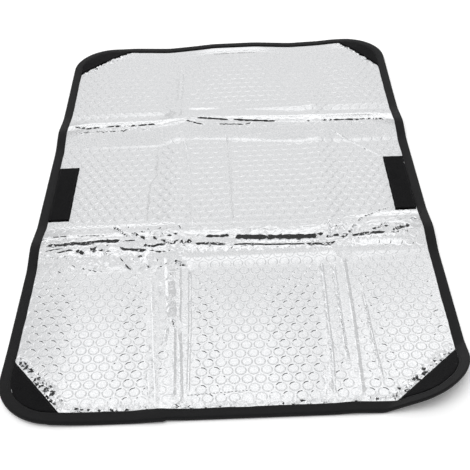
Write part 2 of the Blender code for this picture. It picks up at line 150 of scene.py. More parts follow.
def add_object(name: str, data: bpy.types.ID) -> bpy.types.Object:
    """Add an object that shows some data to the scene."""
    made = bpy.data.objects.new(name, data)
    bpy.context.scene.collection.objects.link(made)
    return made


def smooth_step(value: np.ndarray, low: float, high: float) -> np.ndarray:
    """Rise smoothly from 0 at low to 1 at high."""
    share = np.clip((value - low) / (high - low), 0.0, 1.0)
    return share * share * (3.0 - 2.0 * share)


def rays(angles: np.ndarray) -> np.ndarray:
    """Unit vectors at angles from the right, anticlockwise."""
    return np.column_stack([np.cos(angles), np.sin(angles)])


def grid_points(xs: np.ndarray, ys: np.ndarray) -> np.ndarray:
    """Plan points of a grid, row by row, n by 2."""
    return np.stack([g.ravel() for g in np.meshgrid(xs, ys)], axis=1)


def straight(start: np.ndarray, end: np.ndarray, count: int) -> np.ndarray:
    """Points on a straight line, its ends included."""
    return start + (end - start) * np.linspace(0.0, 1.0, count)[:, None]


def left_of(headings: np.ndarray) -> np.ndarray:
    """Unit vectors to the left of headings in plan."""
    unit = headings / np.linalg.norm(headings, axis=1)[:, None]
    return np.column_stack([-unit[:, 1], unit[:, 0]])


@dataclass(frozen=True)
class SheetPlan:
    """Rounded rectangle of the laid sheet, measured to the binding's outside."""

    half_width: float
    half_length: float
    corner_radius: float = 50.0 * MM

    @classmethod
    def of_frame(cls) -> "SheetPlan":
        """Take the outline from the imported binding."""
        _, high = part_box("edge_binding")
        return cls(high.x, high.y)

    def depth(self, points: np.ndarray) -> np.ndarray:
        """Distance of each plan point inwards from the outline.

        Args:
            points: Plan points, n by 2.

        Returns:
            n distances, negative outside.
        """
        over = np.abs(points) - self.inner_corner()
        round_part = self.corner_radius - np.hypot(over[:, 0], over[:, 1])
        straight_part = self.corner_radius - over.max(axis=1)
        return np.where((over > 0.0).all(axis=1), round_part, straight_part)

    def inner_corner(self) -> np.ndarray:
        """Centre of the far right corner's rounding."""
        return np.array((self.half_width - self.corner_radius, self.half_length - self.corner_radius))

    def rim(self, spacing: float, turn: float) -> tuple[np.ndarray, np.ndarray]:
        """Stations round the outline, anticlockwise from the near edge's left.

        Args:
            spacing: Rough distance between stations on the straight sides.
            turn: Rough angle between stations on the corners, in degrees.

        Returns:
            The outer points and the inward unit vectors, both n by 2.
        """
        inner = self.inner_corner()
        outer_points, inwards = [], []
        sides = list(CORNER_STARTS)
        steps = round(90.0 / turn)
        for side, after in zip(sides, sides[1:] + sides[:1]):
            start = CORNER_STARTS[side]
            centre = inner * side
            angles = np.radians(start + np.linspace(0.0, 90.0, steps + 1))
            outward = rays(angles)
            outer_points.append(centre + outward * self.corner_radius)
            inwards.append(-outward)
            run = inner * after - centre
            count = round(np.linalg.norm(run) / spacing)
            shares = np.arange(1, count) / count
            ray = outward[-1]
            outer_points.append(centre + ray * self.corner_radius + shares[:, None] * run)
            inwards.append(np.repeat(-ray[None], len(shares), axis=0))
        return np.concatenate(outer_points), np.concatenate(inwards)

    def pulled_in(self, points: np.ndarray, inset: float) -> np.ndarray:
        """Move the points that lie nearer the outline than an inset onto it.

        Args:
            points: Plan points, n by 2.
            inset: Smallest depth that a point may have.

        Returns:
            The moved points.
        """
        inner = self.inner_corner()
        reach = self.corner_radius - inset
        over = np.abs(points) - inner
        both = (over > 0.0).all(axis=1)
        length = np.hypot(over[:, 0], over[:, 1])
        shrink = np.where(both & (length > reach), reach / np.maximum(length, 1e-9), 1.0)
        over = np.where(both[:, None], over * shrink[:, None], np.minimum(over, reach))
        return np.sign(points) * (inner + over)


@dataclass(frozen=True)
class CornerPatch:
    """Triangular patch in one corner, with a leg along each edge."""

    name: str
    across: int
    along: int
    leg_x: float
    leg_y: float

    def ends(self, plan: SheetPlan) -> tuple[np.ndarray, np.ndarray]:
        """Ends of the long side, on the short edge and on the long edge."""
        corner = np.array((plan.half_width - PATCH_INSET, plan.half_length - PATCH_INSET))
        corner = corner * (self.across, self.along)
        on_short = corner - (self.across * self.leg_x, 0.0)
        on_long = corner - (0.0, self.along * self.leg_y)
        return on_short, on_long

    def outward(self, plan: SheetPlan) -> np.ndarray:
        """Unit vector from the long side towards the corner."""
        start, end = self.ends(plan)
        along = (end - start) / np.linalg.norm(end - start)
        outward = np.array((along[1], -along[0]))
        return outward * np.sign(outward @ (self.across, self.along))

    def beyond(self, plan: SheetPlan, points: np.ndarray) -> np.ndarray:
        """Signed distance of points past the long side, towards the corner."""
        return (points - self.ends(plan)[0]) @ self.outward(plan)


CORNER_PATCHES = (
    CornerPatch("bottom_left", -1, -1, 46.0 * MM, 58.0 * MM),
    CornerPatch("bottom_right", 1, -1, 57.0 * MM, 53.0 * MM),
    CornerPatch("top_right", 1, 1, 45.0 * MM, 62.0 * MM),
    CornerPatch("top_left", -1, 1, 60.0 * MM, 51.0 * MM),
)


@dataclass(frozen=True)
class SidePatch:
    """Rectangular patch beside the binding at the middle of a long edge."""

    name: str
    across: int
    middle: float
    width: float = 22.0 * MM
    length: float = 93.0 * MM

    def corners(self, plan: SheetPlan) -> np.ndarray:
        """Plan corners, anticlockwise."""
        outer = plan.half_width - PATCH_INSET
        inner = outer - self.width
        low, high = self.middle - self.length / 2.0, self.middle + self.length / 2.0
        box = np.array(((inner, low), (outer, low), (outer, high), (inner, high)))
        if self.across < 0:
            box = (box * (-1.0, 1.0))[::-1]
        return box

    def holds(self, plan: SheetPlan, points: np.ndarray, margin: float) -> np.ndarray:
        """True for the points inside the patch grown by a margin."""
        box = self.corners(plan)
        low, high = box.min(axis=0) - margin, box.max(axis=0) + margin
        return ((points > low) & (points < high)).all(axis=1)


SIDE_PATCHES = (
    SidePatch("left", -1, -2.5 * MM),
    SidePatch("right", 1, -5.5 * MM),
)


# Back patches: the end that each is near, its side along the sheet, and its middle across
BACK_PATCHES = (
    ("bottom", -1, -13.0 * MM),
    ("top", 1, 6.5 * MM),
)


@dataclass(frozen=True)
class Eye:
    """Camera at the photograph's viewing angle."""

    place: tuple[float, float, float] = (0.01818, -0.77583, 0.58668)
    azimuth: float = 1.2388
    elevation: float = 40.093
    roll: float = -3.1594
    lens: float = 68.38
    fit_shift: float = 3.66 * MM

    def axes(self) -> np.ndarray:
        """Right, up and backward unit vectors as rows."""
        a, e, r = (math.radians(v) for v in (self.azimuth, self.elevation, self.roll))
        back = np.array((math.sin(a) * math.cos(e), -math.cos(a) * math.cos(e), math.sin(e)))
        right = np.array((math.cos(a), math.sin(a), 0.0))
        up = np.cross(back, right)
        turned = math.cos(r) * right + math.sin(r) * up
        return np.array((turned, -math.sin(r) * right + math.cos(r) * up, back))

    def make(self) -> bpy.types.Object:
        """Make the camera object and use it for the scene."""
        data = bpy.data.cameras.new("studio_camera")
        data.lens = self.lens
        camera = add_object("studio_camera", data)
        turn = Matrix(self.axes().T.tolist()).to_4x4()
        camera.matrix_world = Matrix.Translation(self.place) @ turn
        bpy.context.scene.camera = camera
        return camera


@dataclass
class Drape:
    """Heights of the laid sheet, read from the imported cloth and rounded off.

    The grid holds the height of the sheet's underside over the floor. The near
    right corner is kept flat there, and curls up by a turn about its patch's
    long side.
    """

    plan: SheetPlan
    eye: Eye
    pitch: float = 2.5 * MM
    rounding: float = 3.6 * MM
    curl_angle: float = math.radians(28.0)
    curl_margin: float = 1.5 * MM
    crown: float = 0.6 * MM
    corner_lift: float = 2.4 * MM
    lift_run: tuple[float, float] = (20.0 * MM, 95.0 * MM)
    edge_sag: float = 0.4
    sag_run: float = 45.0 * MM
    left_fold: float = -62.0 * MM
    right_fold: float = 101.0 * MM
    lower_fold: float = -98.0 * MM
    upper_fold: float = 112.0 * MM
    wave_run: tuple[float, float] = (168.0 * MM, 280.0 * MM)
    xs: np.ndarray = field(init=False)
    ys: np.ndarray = field(init=False)
    grid: np.ndarray = field(init=False)

    def __post_init__(self) -> None:
        """Read and smooth the heights."""
        margin = 4 * self.pitch
        self.xs = np.arange(-self.plan.half_width - margin, self.plan.half_width + margin, self.pitch)
        self.ys = np.arange(-self.plan.half_length - margin, self.plan.half_length + margin, self.pitch)
        points = grid_points(self.xs, self.ys)
        heights = self.cast(self.plan.pulled_in(points, 3.0 * MM))
        flat = self.curl_patch().beyond(self.plan, points) > -3.0 * MM
        heights[flat] = 0.0
        heights *= 1.0 - self.edge_sag * (1.0 - smooth_step(self.plan.depth(points), 0.0, self.sag_run))
        grid_x, grid_y = np.meshgrid(self.xs, self.ys)
        heights = self.blurred(self.eased(heights.reshape(grid_x.shape)))
        self.grid = heights + self.crowned(grid_x, grid_y) + self.lifted_corner(grid_x, grid_y)

    def eased(self, heights: np.ndarray) -> np.ndarray:
        """Let the far edge's wave run out evenly over the far panels."""
        first, last = (int(np.searchsorted(self.ys, y)) for y in self.wave_run)
        shares = np.linspace(0.0, 1.0, last - first + 1)[:, None]
        even = heights.copy()
        even[first:last + 1] = heights[first] * (1.0 - shares) + heights[last] * shares
        return even

    @staticmethod
    def curl_patch() -> CornerPatch:
        """The patch that the curling corner carries."""
        return CORNER_PATCHES[1]

    @staticmethod
    def cast(points: np.ndarray) -> np.ndarray:
        """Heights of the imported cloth's underside level under plan points."""
        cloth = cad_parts["backing_cloth"]
        tree = BVHTree.FromObject(cloth, bpy.context.evaluated_depsgraph_get())
        down = Vector((0.0, 0.0, -1.0))
        heights = np.zeros(len(points))
        for number, (x, y) in enumerate(points):
            hit = tree.ray_cast(Vector((x, y, 1.0)), down)[0]
            if hit is not None:
                heights[number] = max(0.0, hit.z - CLOTH_HIGH)
        return heights

    def blurred(self, heights: np.ndarray) -> np.ndarray:
        """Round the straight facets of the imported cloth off."""
        reach = math.ceil(3.0 * self.rounding / self.pitch)
        steps = np.arange(-reach, reach + 1) * self.pitch
        weights = np.exp(-0.5 * (steps / self.rounding) ** 2)
        weights /= weights.sum()
        padded = np.pad(heights, reach, mode="edge")
        rows = sum(w * padded[i:i + heights.shape[0], :] for i, w in enumerate(weights))
        return sum(w * rows[:, i:i + heights.shape[1]] for i, w in enumerate(weights))

    def crowned(self, x: np.ndarray, y: np.ndarray) -> np.ndarray:
        """Low crowns that the nine panels keep between the folds."""
        columns = (-self.plan.half_width, self.left_fold, self.right_fold, self.plan.half_width)
        rows = (-self.plan.half_length, self.lower_fold, self.upper_fold, self.plan.half_length)
        lift = np.zeros_like(x)
        for left, right in zip(columns, columns[1:]):
            for near, far in zip(rows, rows[1:]):
                u = np.clip((x - left) / (right - left), 0.0, 1.0)
                v = np.clip((y - near) / (far - near), 0.0, 1.0)
                lift += self.crown * (np.sin(math.pi * u) * np.sin(math.pi * v)) ** 2
        return lift

    def lifted_corner(self, x: np.ndarray, y: np.ndarray) -> np.ndarray:
        """Slight lift of the near left corner."""
        away = np.hypot(x + self.plan.half_width, y + self.plan.half_length)
        return self.corner_lift * (1.0 - smooth_step(away, *self.lift_run))

    def height(self, points: np.ndarray) -> np.ndarray:
        """Height of the sheet's underside at plan points."""
        u = np.clip((points[:, 0] - self.xs[0]) / self.pitch, 0.0, len(self.xs) - 1.001)
        v = np.clip((points[:, 1] - self.ys[0]) / self.pitch, 0.0, len(self.ys) - 1.001)
        i, j = u.astype(int), v.astype(int)
        a, b = u - i, v - j
        near = self.grid[j, i] * (1 - a) + self.grid[j, i + 1] * a
        far = self.grid[j + 1, i] * (1 - a) + self.grid[j + 1, i + 1] * a
        return near * (1 - b) + far * b

    def lay(self, points: np.ndarray, lift: np.ndarray | float) -> np.ndarray:
        """Lay plan points over the folds.

        Args:
            points: Plan points, n by 2.
            lift: Height of each above the sheet's underside.

        Returns:
            n by 3 points in the frame.
        """
        patch = self.curl_patch()
        curl = np.maximum(patch.beyond(self.plan, points) + self.curl_margin, 0.0)
        drawn_in = curl * (1.0 - math.cos(self.curl_angle))
        moved = points - patch.outward(self.plan) * drawn_in[:, None]
        z = self.height(points) + curl * math.sin(self.curl_angle) + lift
        return np.column_stack([moved, z])

    def under_sight(self, seen: Sequence[Sequence[float]]) -> np.ndarray:
        """Find the plan points that the camera sees at places over the floor.

        Args:
            seen: Places in millimetres, as measured over the level floor.

        Returns:
            Plan points on the raised sheet, n by 2, in metres.
        """
        floor = np.array(seen, float) * MM + (0.0, self.eye.fit_shift)
        eye = np.array(self.eye.place)
        plan_points = floor.copy()
        for _ in range(8):
            rise = self.height(plan_points) + FILM_HIGH
            plan_points = floor + (eye[:2] - floor) * (rise / eye[2])[:, None]
        return plan_points


class Section(Enum):
    """Cross-sections of a crease, as (place across, lift) for a unit size."""

    RIDGE = ((-1.0, 0.0), (0.0, 1.0), (1.0, 0.0))
    GROOVE = ((-1.0, 0.0), (0.0, -1.0), (1.0, 0.0))
    LIP = ((-2.5, 0.0), (-1.8, 0.15), (-1.0, -0.8), (0.0, 1.0), (1.6, 0.1))
    PLEAT = ((-1.1, 0.0), (0.0, 1.0), (3.0, -0.1))
    TUCK = ((-1.5, 0.0), (0.0, 1.0), (0.9, -0.5), (2.2, 0.0))


@dataclass(frozen=True)
class Crease:
    """A crease in the film along a path seen on the photograph, in mm."""

    path: tuple[tuple[float, float], ...]
    section: Section
    width: float
    rise: float
    ragged: float
    step: float


def creases(section: Section, rows: Sequence[tuple]) -> tuple[Crease, ...]:
    """Make creases of one cross-section.

    Args:
        section: Their cross-section.
        rows: For each crease its width, rise, raggedness as a share and step
            between points, followed by the places that its path goes through.

    Returns:
        The creases in the order of the rows.
    """
    return tuple(Crease(tuple(path), section, width, rise, ragged, step)
                 for width, rise, ragged, step, *path in rows)


@dataclass(frozen=True)
class Crumple:
    """An oval of crumpled film: half sizes, turn, and its facets' pitch, relief and stretch, in mm."""

    reach: tuple[float, float]
    turn: float
    pitch: float
    relief: float
    stretch: float

    def weight(self, points: np.ndarray, middle: np.ndarray) -> np.ndarray:
        """Strength of the crumpling, 1 at the middle and 0 outside.

        Args:
            points: Plan points in metres.
            middle: The middle as a plan point in metres.

        Returns:
            One weight for each point.
        """
        angle = math.radians(self.turn)
        away = (points - middle) / MM
        u = (away[:, 0] * math.cos(angle) + away[:, 1] * math.sin(angle)) / self.reach[0]
        v = (-away[:, 0] * math.sin(angle) + away[:, 1] * math.cos(angle)) / self.reach[1]
        return np.clip(1.35 * (1.0 - (np.abs(u) ** 3 + np.abs(v) ** 3) ** (1.0 / 3.0)), 0.0, 1.0)


# Creases of the lower cross fold, as seen on the photograph: sizes and places in mm
LOWER_CREASES = creases(Section.LIP, (
    (0.7, 0.35, 0.3, 2.0, (-187, -75), (-178, -74.5), (-167.5, -74)),
    (0.6, 0.3, 0.9, 2.0, (-164, -74.5), (-141, -75), (-125.5, -75.5)),
    (1.6, 0.8, 0.3, 1.6, (-192, -77.5), (-187, -81)),
    (1.8, 0.94, 0.35, 2.0, (-190, -87), (-173.5, -87), (-163.5, -85), (-150.5, -86), (-140, -84),
     (-132.5, -83), (-123, -84), (-112.5, -83.5)),
    (0.9, 0.47, 0.3, 2.0, (-112, -85.5), (-98, -84.5)),
    (0.7, 0.35, 0.3, 2.0, (-190, -96.5), (-179, -94), (-171.5, -92.5)),
    (1.1, 0.55, 0.4, 2.0, (-178.5, -100), (-170.5, -97), (-161, -95)),
    (3.0, 1.5, 0.5, 1.8, (-157.5, -95), (-152.5, -98.5), (-147.5, -101)),
    (2.8, 1.4, 0.5, 1.8, (-144.5, -93.5), (-136.5, -98)),
    (1.0, 0.5, 0.6, 2.0, (-135.5, -96.5), (-129.5, -98.5), (-121.5, -99.5)),
    (1.6, 0.8, 0.35, 2.0, (-114.5, -93.5), (-109, -97.5), (-97, -99), (-86, -100.5)),
    (1.4, 0.7, 0.4, 2.0, (-91, -95), (-88.5, -92), (-82, -94.5), (-71.5, -92), (-64, -88.5)),
    (0.7, 0.35, 0.6, 2.0, (-84, -101.5), (-66.5, -104.5)),
    (1.7, 0.94, 0.3, 1.8, (-124.5, -62.5), (-117, -66), (-111, -73.5), (-104.5, -80)),
    (1.1, 0.61, 0.3, 1.6, (-109, -61), (-104.5, -66.5)),
    (1.0, 0.55, 0.3, 1.6, (-103, -66.5), (-99, -60.5)),
    (2.1, 1.16, 0.3, 1.8, (-103.5, -71.5), (-95, -77.5), (-86, -83.5)),
    (1.2, 0.62, 0.3, 1.8, (-97.5, -70.5), (-87.5, -72)),
    (0.9, 0.54, 0.3, 1.6, (-89, -65), (-84, -70), (-84, -77.5)),
    (0.9, 0.54, 0.3, 1.6, (-79.5, -67.5), (-73, -66.5), (-71, -77), (-76, -84)),
    (2.0, 1.04, 0.4, 1.8, (-84, -78.5), (-73.5, -84.5)),
    (1.3, 0.68, 0.4, 1.8, (-70.5, -79.5), (-60.5, -78.5), (-50, -73.5)),
    (1.4, 0.84, 0.2, 1.6, (-56, -61), (-51, -71.5)),
    (1.4, 0.77, 0.4, 1.8, (-72, -84), (-62.5, -91.5), (-54, -85.5)),
    (2.9, 1.45, 0.4, 1.8, (-54, -85.5), (-47, -88.5), (-41, -87)),
    (1.1, 0.61, 0.4, 1.8, (-40.5, -85), (-32.5, -78.5)),
    (1.8, 0.94, 0.3, 2.0, (-29, -82), (-11, -83), (1, -81.5)),
    (1.5, 0.78, 0.3, 2.0, (-37.5, -93), (-24, -93.5), (-6, -96)),
    (0.8, 0.48, 0.2, 1.8, (-113, -109), (-107.5, -117.5)),
    (1.4, 0.84, 0.2, 1.8, (-107.5, -118), (-98.5, -131)),
    (0.6, 0.24, 0.4, 1.8, (-98.5, -131), (-87, -149)),
    (1.2, 0.72, 0.3, 1.6, (-85, -119.5), (-80.5, -129.5)),
    (1.1, 0.66, 0.2, 1.6, (-73.5, -130.5), (-68.5, -122)),
    (1.6, 0.88, 0.5, 1.8, (-57.5, -115.5), (-51, -124), (-44, -127)),
    (0.8, 0.44, 0.3, 1.6, (-159.5, -118), (-153.5, -124.5)),
    (1.3, 0.65, 0.4, 1.6, (-151, -122.5), (-144, -125.5)),
    (0.7, 0.35, 0.3, 1.6, (-175, -126.5), (-167, -130.5)),
    (0.6, 0.3, 0.9, 1.8, (-144.5, -128), (-127.5, -130)),
    (3.1, 1.61, 0.25, 2.2, (1, -84), (33.5, -86.5), (50, -87), (74, -88), (87.5, -87.5)),
    (2.2, 1.14, 0.4, 1.8, (85.5, -87), (95, -83.5)),
    (1.0, 0.52, 0.2, 2.2, (1, -97), (16, -97), (33, -99), (74, -100.5)),
    (1.5, 0.78, 0.3, 2.0, (74, -100.5), (99, -101.5), (105.5, -97)),
    (1.1, 0.66, 0.3, 1.6, (100, -63), (102.5, -70)),
    (1.0, 0.65, 0.4, 1.6, (101, -66.5), (100, -92)),
    (0.9, 0.54, 0.3, 1.6, (108.5, -71), (110.5, -62.5)),
    (1.6, 0.83, 0.5, 1.8, (93, -90.5), (110.5, -88)),
    (1.7, 0.99, 0.4, 1.8, (109.5, -93.5), (120, -85), (126, -73)),
    (1.3, 0.75, 0.3, 1.8, (128, -70.5), (135.5, -62)),
    (0.8, 0.46, 0.7, 1.8, (136, -62), (146, -58), (154, -52), (165.5, -48)),
    (1.5, 0.78, 0.3, 2.0, (120.5, -90.5), (130, -88.5), (142.5, -87), (155.5, -87)),
    (1.3, 0.72, 0.4, 1.8, (140.5, -82), (150.5, -79), (158, -71)),
    (1.3, 0.72, 0.4, 1.8, (150, -80), (161.5, -76.5)),
    (1.8, 0.94, 0.5, 1.8, (162.5, -83.5), (175, -79.5), (183, -76.5)),
    (1.8, 0.99, 0.4, 1.6, (182, -71.5), (186.5, -66), (192, -71)),
    (0.6, 0.31, 0.4, 1.8, (160, -88.5), (171.5, -88)),
    (0.7, 0.39, 0.3, 1.6, (81, -103.5), (84, -110)),
    (0.6, 0.33, 0.3, 1.6, (101.5, -109), (105, -116)),
))

# Creases of the upper cross fold and of single panels
UPPER_CREASES = (
    *creases(Section.LIP, (
        (1.3, 0.68, 0.35, 2.2, (-190, 131.5), (-171, 126.5), (-140.5, 129.5), (-117.5, 129), (-88, 130.5)),
        (0.8, 0.42, 0.3, 1.6, (-85.5, 128.5), (-80, 130)),
        (0.5, 0.25, 0.9, 2.2, (-187, 118), (-155.5, 118), (-120, 119.5), (-96, 120)),
        (0.8, 0.42, 0.4, 1.8, (-57, 137.5), (-44, 131.5), (-29, 125)),
        (1.0, 0.52, 0.3, 1.6, (-53, 145), (-48, 147)),
        (1.35, 0.7, 0.12, 2.2, (-42.5, 142), (1, 133.5)),
        (1.3, 0.68, 0.25, 2.2, (1.5, 134.5), (21.5, 131), (57.5, 126)),
        (0.6, 0.3, 0.4, 2.0, (-15.5, 124.5), (1, 124), (16.5, 122), (27.5, 125)),
        (0.9, 0.47, 0.5, 1.8, (88.5, 126.5), (93.5, 124), (99.5, 125.5)),
        (1.2, 0.62, 0.35, 2.2, (106.5, 124.5), (154, 122.5), (185.5, 120)),
        (0.9, 0.5, 0.2, 1.2, (122.5, 98), (124.5, 95.5)),
    )),
    *creases(Section.RIDGE, (
        (1.0, 0.2, 0.1, 4.0, (117, 105), (132.5, 85.5), (169, 44)),
        (1.2, 0.36, 0.1, 4.0, (134, -62), (165, -47.5)),
    )),
)

# Creases of the lengthwise fold zones
LONG_CREASES = (
    *creases(Section.TUCK, (
        (0.9, 0.23, 0.15, 5.0, (-65.5, 255.5), (-65.5, 179)),
        (0.9, 0.23, 0.15, 5.0, (-58.5, 257.5), (-60, 146)),
        (0.8, 0.2, 0.15, 5.0, (-55.5, 98), (-50, 71), (-41.5, -64)),
        (0.8, 0.2, 0.15, 5.0, (-4, 102.5), (-1, 30), (2, -76.5)),
        (0.6, 0.13, 0.15, 5.0, (-84, 69.5), (-82.5, 25.5), (-89, 8.5), (-88.5, -56)),
    )),
    *creases(Section.PLEAT, (
        (0.8, 0.42, 0.2, 4.0, (-79, -139.5), (-72.5, -225), (-66, -303)),
        (2.3, 1.15, 0.3, 4.0, (-65.5, -112), (-62.5, -153.5), (-58.5, -199)),
        (0.9, 0.5, 0.3, 4.0, (-60.5, -206), (-63.5, -232.5)),
        (0.8, 0.45, 0.2, 4.0, (-54.5, -205), (-53, -249.5), (-51.5, -292)),
        (0.8, 0.42, 0.2, 4.0, (-49.5, -216), (-47, -261.5), (-45, -300)),
        (0.6, 0.35, 0.2, 4.0, (-52, -122), (-50.5, -165), (-49.5, -205)),
    )),
    *creases(Section.TUCK, (
        (0.9, 0.41, 0.15, 5.0, (-42, -133), (-40, -214), (-40, -286.5)),
    )),
    *creases(Section.GROOVE, (
        (0.9, 0.45, 0.15, 4.0, (-76, -262.5), (-73, -289)),
    )),
    *creases(Section.TUCK, (
        (1.1, 0.61, 0.15, 5.0, (86.5, -129), (86, -182.5), (85.5, -251), (83, -294.5)),
        (1.0, 0.55, 0.15, 5.0, (98, -134), (98, -209), (98.5, -259)),
    )),
    *creases(Section.PLEAT, (
        (0.94, 0.56, 0.15, 5.0, (109, -124.5), (109, -209.5), (107, -298)),
    )),
    *creases(Section.TUCK, (
        (0.9, 0.45, 0.15, 5.0, (121.5, -171), (123.5, -235), (125.5, -281.5)),
    )),
    *creases(Section.GROOVE, (
        (0.8, 0.4, 0.15, 4.0, (78, -269), (76.5, -296.5)),
    )),
    *creases(Section.LIP, (
        (2.6, 1.35, 0.5, 1.5, (-59.5, -203), (-53, -201.5)),
        (1.2, 0.66, 0.4, 1.5, (-58.5, -143), (-55, -140)),
    )),
)

# Short tucks along the near binding
PUCKERS = creases(Section.LIP, (
    (1.5, 0.8, 0.6, 1.4, (-137.5, -298.5), (-125, -302)),
    (1.6, 0.85, 0.6, 1.4, (-129, -300.5), (-119.5, -302)),
    (1.8, 0.95, 0.6, 1.4, (-117.5, -301.5), (-109, -302.5)),
    (1.8, 0.95, 0.6, 1.4, (-107.5, -302), (-97.5, -303)),
    (1.3, 0.7, 0.6, 1.4, (-95, -303), (-86.5, -303.5)),
    (1.2, 0.65, 0.6, 1.4, (-82.5, -303), (-78, -299.5)),
    (1.2, 0.65, 0.6, 1.4, (-76, -298), (-72, -302.5)),
    (1.0, 0.55, 0.6, 1.4, (-69.5, -303.5), (-64, -304)),
    (2.2, 1.15, 0.6, 1.4, (-50.5, -298.5), (-45, -303)),
    (2.2, 1.15, 0.6, 1.4, (-40, -298), (-34, -303)),
    (2.0, 1.12, 0.5, 1.4, (-39, -302), (-36, -302)),
    (1.4, 0.74, 0.5, 1.4, (-25.5, -303.5), (-23, -303.5)),
    (1.4, 0.74, 0.5, 1.4, (-14, -303.5), (-11, -303)),
    (1.4, 0.74, 0.5, 1.4, (-2, -304), (0.5, -303.5)),
    (1.2, 0.68, 0.5, 1.4, (7, -300), (10.5, -300)),
    (1.4, 0.74, 0.5, 1.4, (15.5, -301), (18, -301)),
    (1.4, 0.74, 0.5, 1.4, (26, -302), (29, -302)),
    (2.2, 1.19, 0.5, 1.4, (36.5, -302.5), (41.5, -302.5)),
    (1.4, 0.74, 0.5, 1.4, (46.5, -303.5), (50.5, -303.5)),
    (1.4, 0.74, 0.5, 1.4, (60, -302.5), (63.5, -302.5)),
    (2.2, 1.19, 0.5, 1.4, (71.5, -303), (77, -303)),
    (1.4, 0.74, 0.5, 1.4, (85.5, -304), (88.5, -303.5)),
    (1.6, 0.89, 0.5, 1.4, (99, -303), (103, -303)),
))

# Ends of the two sewn lines, as seen on the photograph, in mm
SEAMS = (
    ((-19, 296), (33.5, 296)),
    ((-39.5, -290), (13.5, -287)),
)

# Crumpled places of the folds, by their middles as seen on the photograph, in mm
CRUMPLES = (
    ((-143, -88), Crumple((58, 19), 1.0, 3.0, 0.45, 1.6)),
    ((-72, -79), Crumple((36, 23), 0.0, 3.6, 1.1, 1.1)),
    ((-90, -117), Crumple((27, 18), 0.0, 3.6, 0.6, 1.0)),
    ((-143, -125), Crumple((30, 10), 0.0, 3.4, 0.4, 1.2)),
    ((30, -76), Crumple((76, 13), 0.0, 3.8, 0.5, 1.2)),
    ((30, -96), Crumple((84, 9), 0.0, 4.0, 0.1, 2.0)),
    ((108, -80), Crumple((24, 24), 0.0, 3.4, 1.1, 1.0)),
    ((157, -74), Crumple((42, 18), 8.0, 3.4, 0.7, 1.2)),
    ((-140, 128), Crumple((54, 10), 0.0, 2.8, 0.4, 1.4)),
    ((5, 133), Crumple((60, 10), -8.5, 3.2, 0.35, 1.4)),
    ((145, 122), Crumple((46, 9), -3.5, 2.8, 0.35, 1.4)),
    ((-61, -150), Crumple((7, 60), 0.0, 3.6, 0.35, 0.6)),
    ((-60, -122), Crumple((14, 16), 0.0, 3.4, 0.6, 0.8)),
)

# Half width and relief of the crumpled film beside each corner patch, in the patches' order, in mm
PATCH_CRUMPLES = ((9.5, 1.9), (8.0, 1.6), (5.0, 0.6), (6.0, 1.0))

# Crumpled film along the near binding: place across, half sizes, facet pitch and relief, in mm
NEAR_CRUMPLES = (
    (-118.0, (56, 6.5), 2.3, 1.2),
    (30.0, (66, 4.5), 2.4, 0.8),
    (125.0, (42, 5), 2.4, 0.9),
)

# The next tables tilt the film's normals and not its mesh. They were fitted to the
# reflections in the photograph. First, the tilt of a bubble's rim in degrees, by its place along in mm
RIM_ANGLES = (
    (-320.0, 19.0), (-250.0, 17.0), (-200.0, 15.7), (-135.0, 14.1), (-100.0, 13.0), (0.0, 11.5), (90.0, 7.5),
    (130.0, 7.5), (320.0, 5.6),
)

# Lean of the near panels' normals to the right in degrees, by their place across in mm
PANEL_LEANS = (
    (-200.0, 0.5), (-165.0, 1.5), (-140.0, 5.0), (-125.0, 6.8), (-85.0, 8.2), (-68.0, 4.0), (-41.0, 0.0),
    (18.0, 0.5), (80.0, 1.7), (96.0, -3.0), (120.0, -7.9), (160.0, -6.7), (200.0, -5.5),
)


@dataclass(frozen=True)
class Band:
    """A band across the sheet that fades in and out, in mm along the sheet."""

    fades_in: tuple[float, float]
    fades_out: tuple[float, float]

    def share(self, along: np.ndarray) -> np.ndarray:
        """1 within the band and 0 outside it, by the place along the sheet."""
        into = smooth_step(along, self.fades_in[0] * MM, self.fades_in[1] * MM)
        return into * (1.0 - smooth_step(along, self.fades_out[0] * MM, self.fades_out[1] * MM))


# Span over which the near panels end, and the foot of the lower fold
NEAR_PANELS_END = (-135.0 * MM, -105.0 * MM)
FOLD_FOOT = Band((-150.0, -140.0), (-121.0, -114.0))

# Slopes by which the film's normals lean towards the near edge on the cross folds
FAR_SIDE_OF_LOWER_FOLD = (Band((-106.0, -97.0), (-72.0, -58.0)), 0.085)
RIDGE_OF_LOWER_FOLD = (Band((-113.0, -110.0), (-106.0, -103.0)), 0.09)
UPPER_FOLD = (Band((123.0, 128.0), (150.0, 158.0)), 0.26)
BROW_OF_LOWER_FOLD = (Band((-82.0, -77.0), (-69.0, -62.0)), 0.16)
FOLD_LEANS = (FAR_SIDE_OF_LOWER_FOLD, RIDGE_OF_LOWER_FOLD, UPPER_FOLD, BROW_OF_LOWER_FOLD)


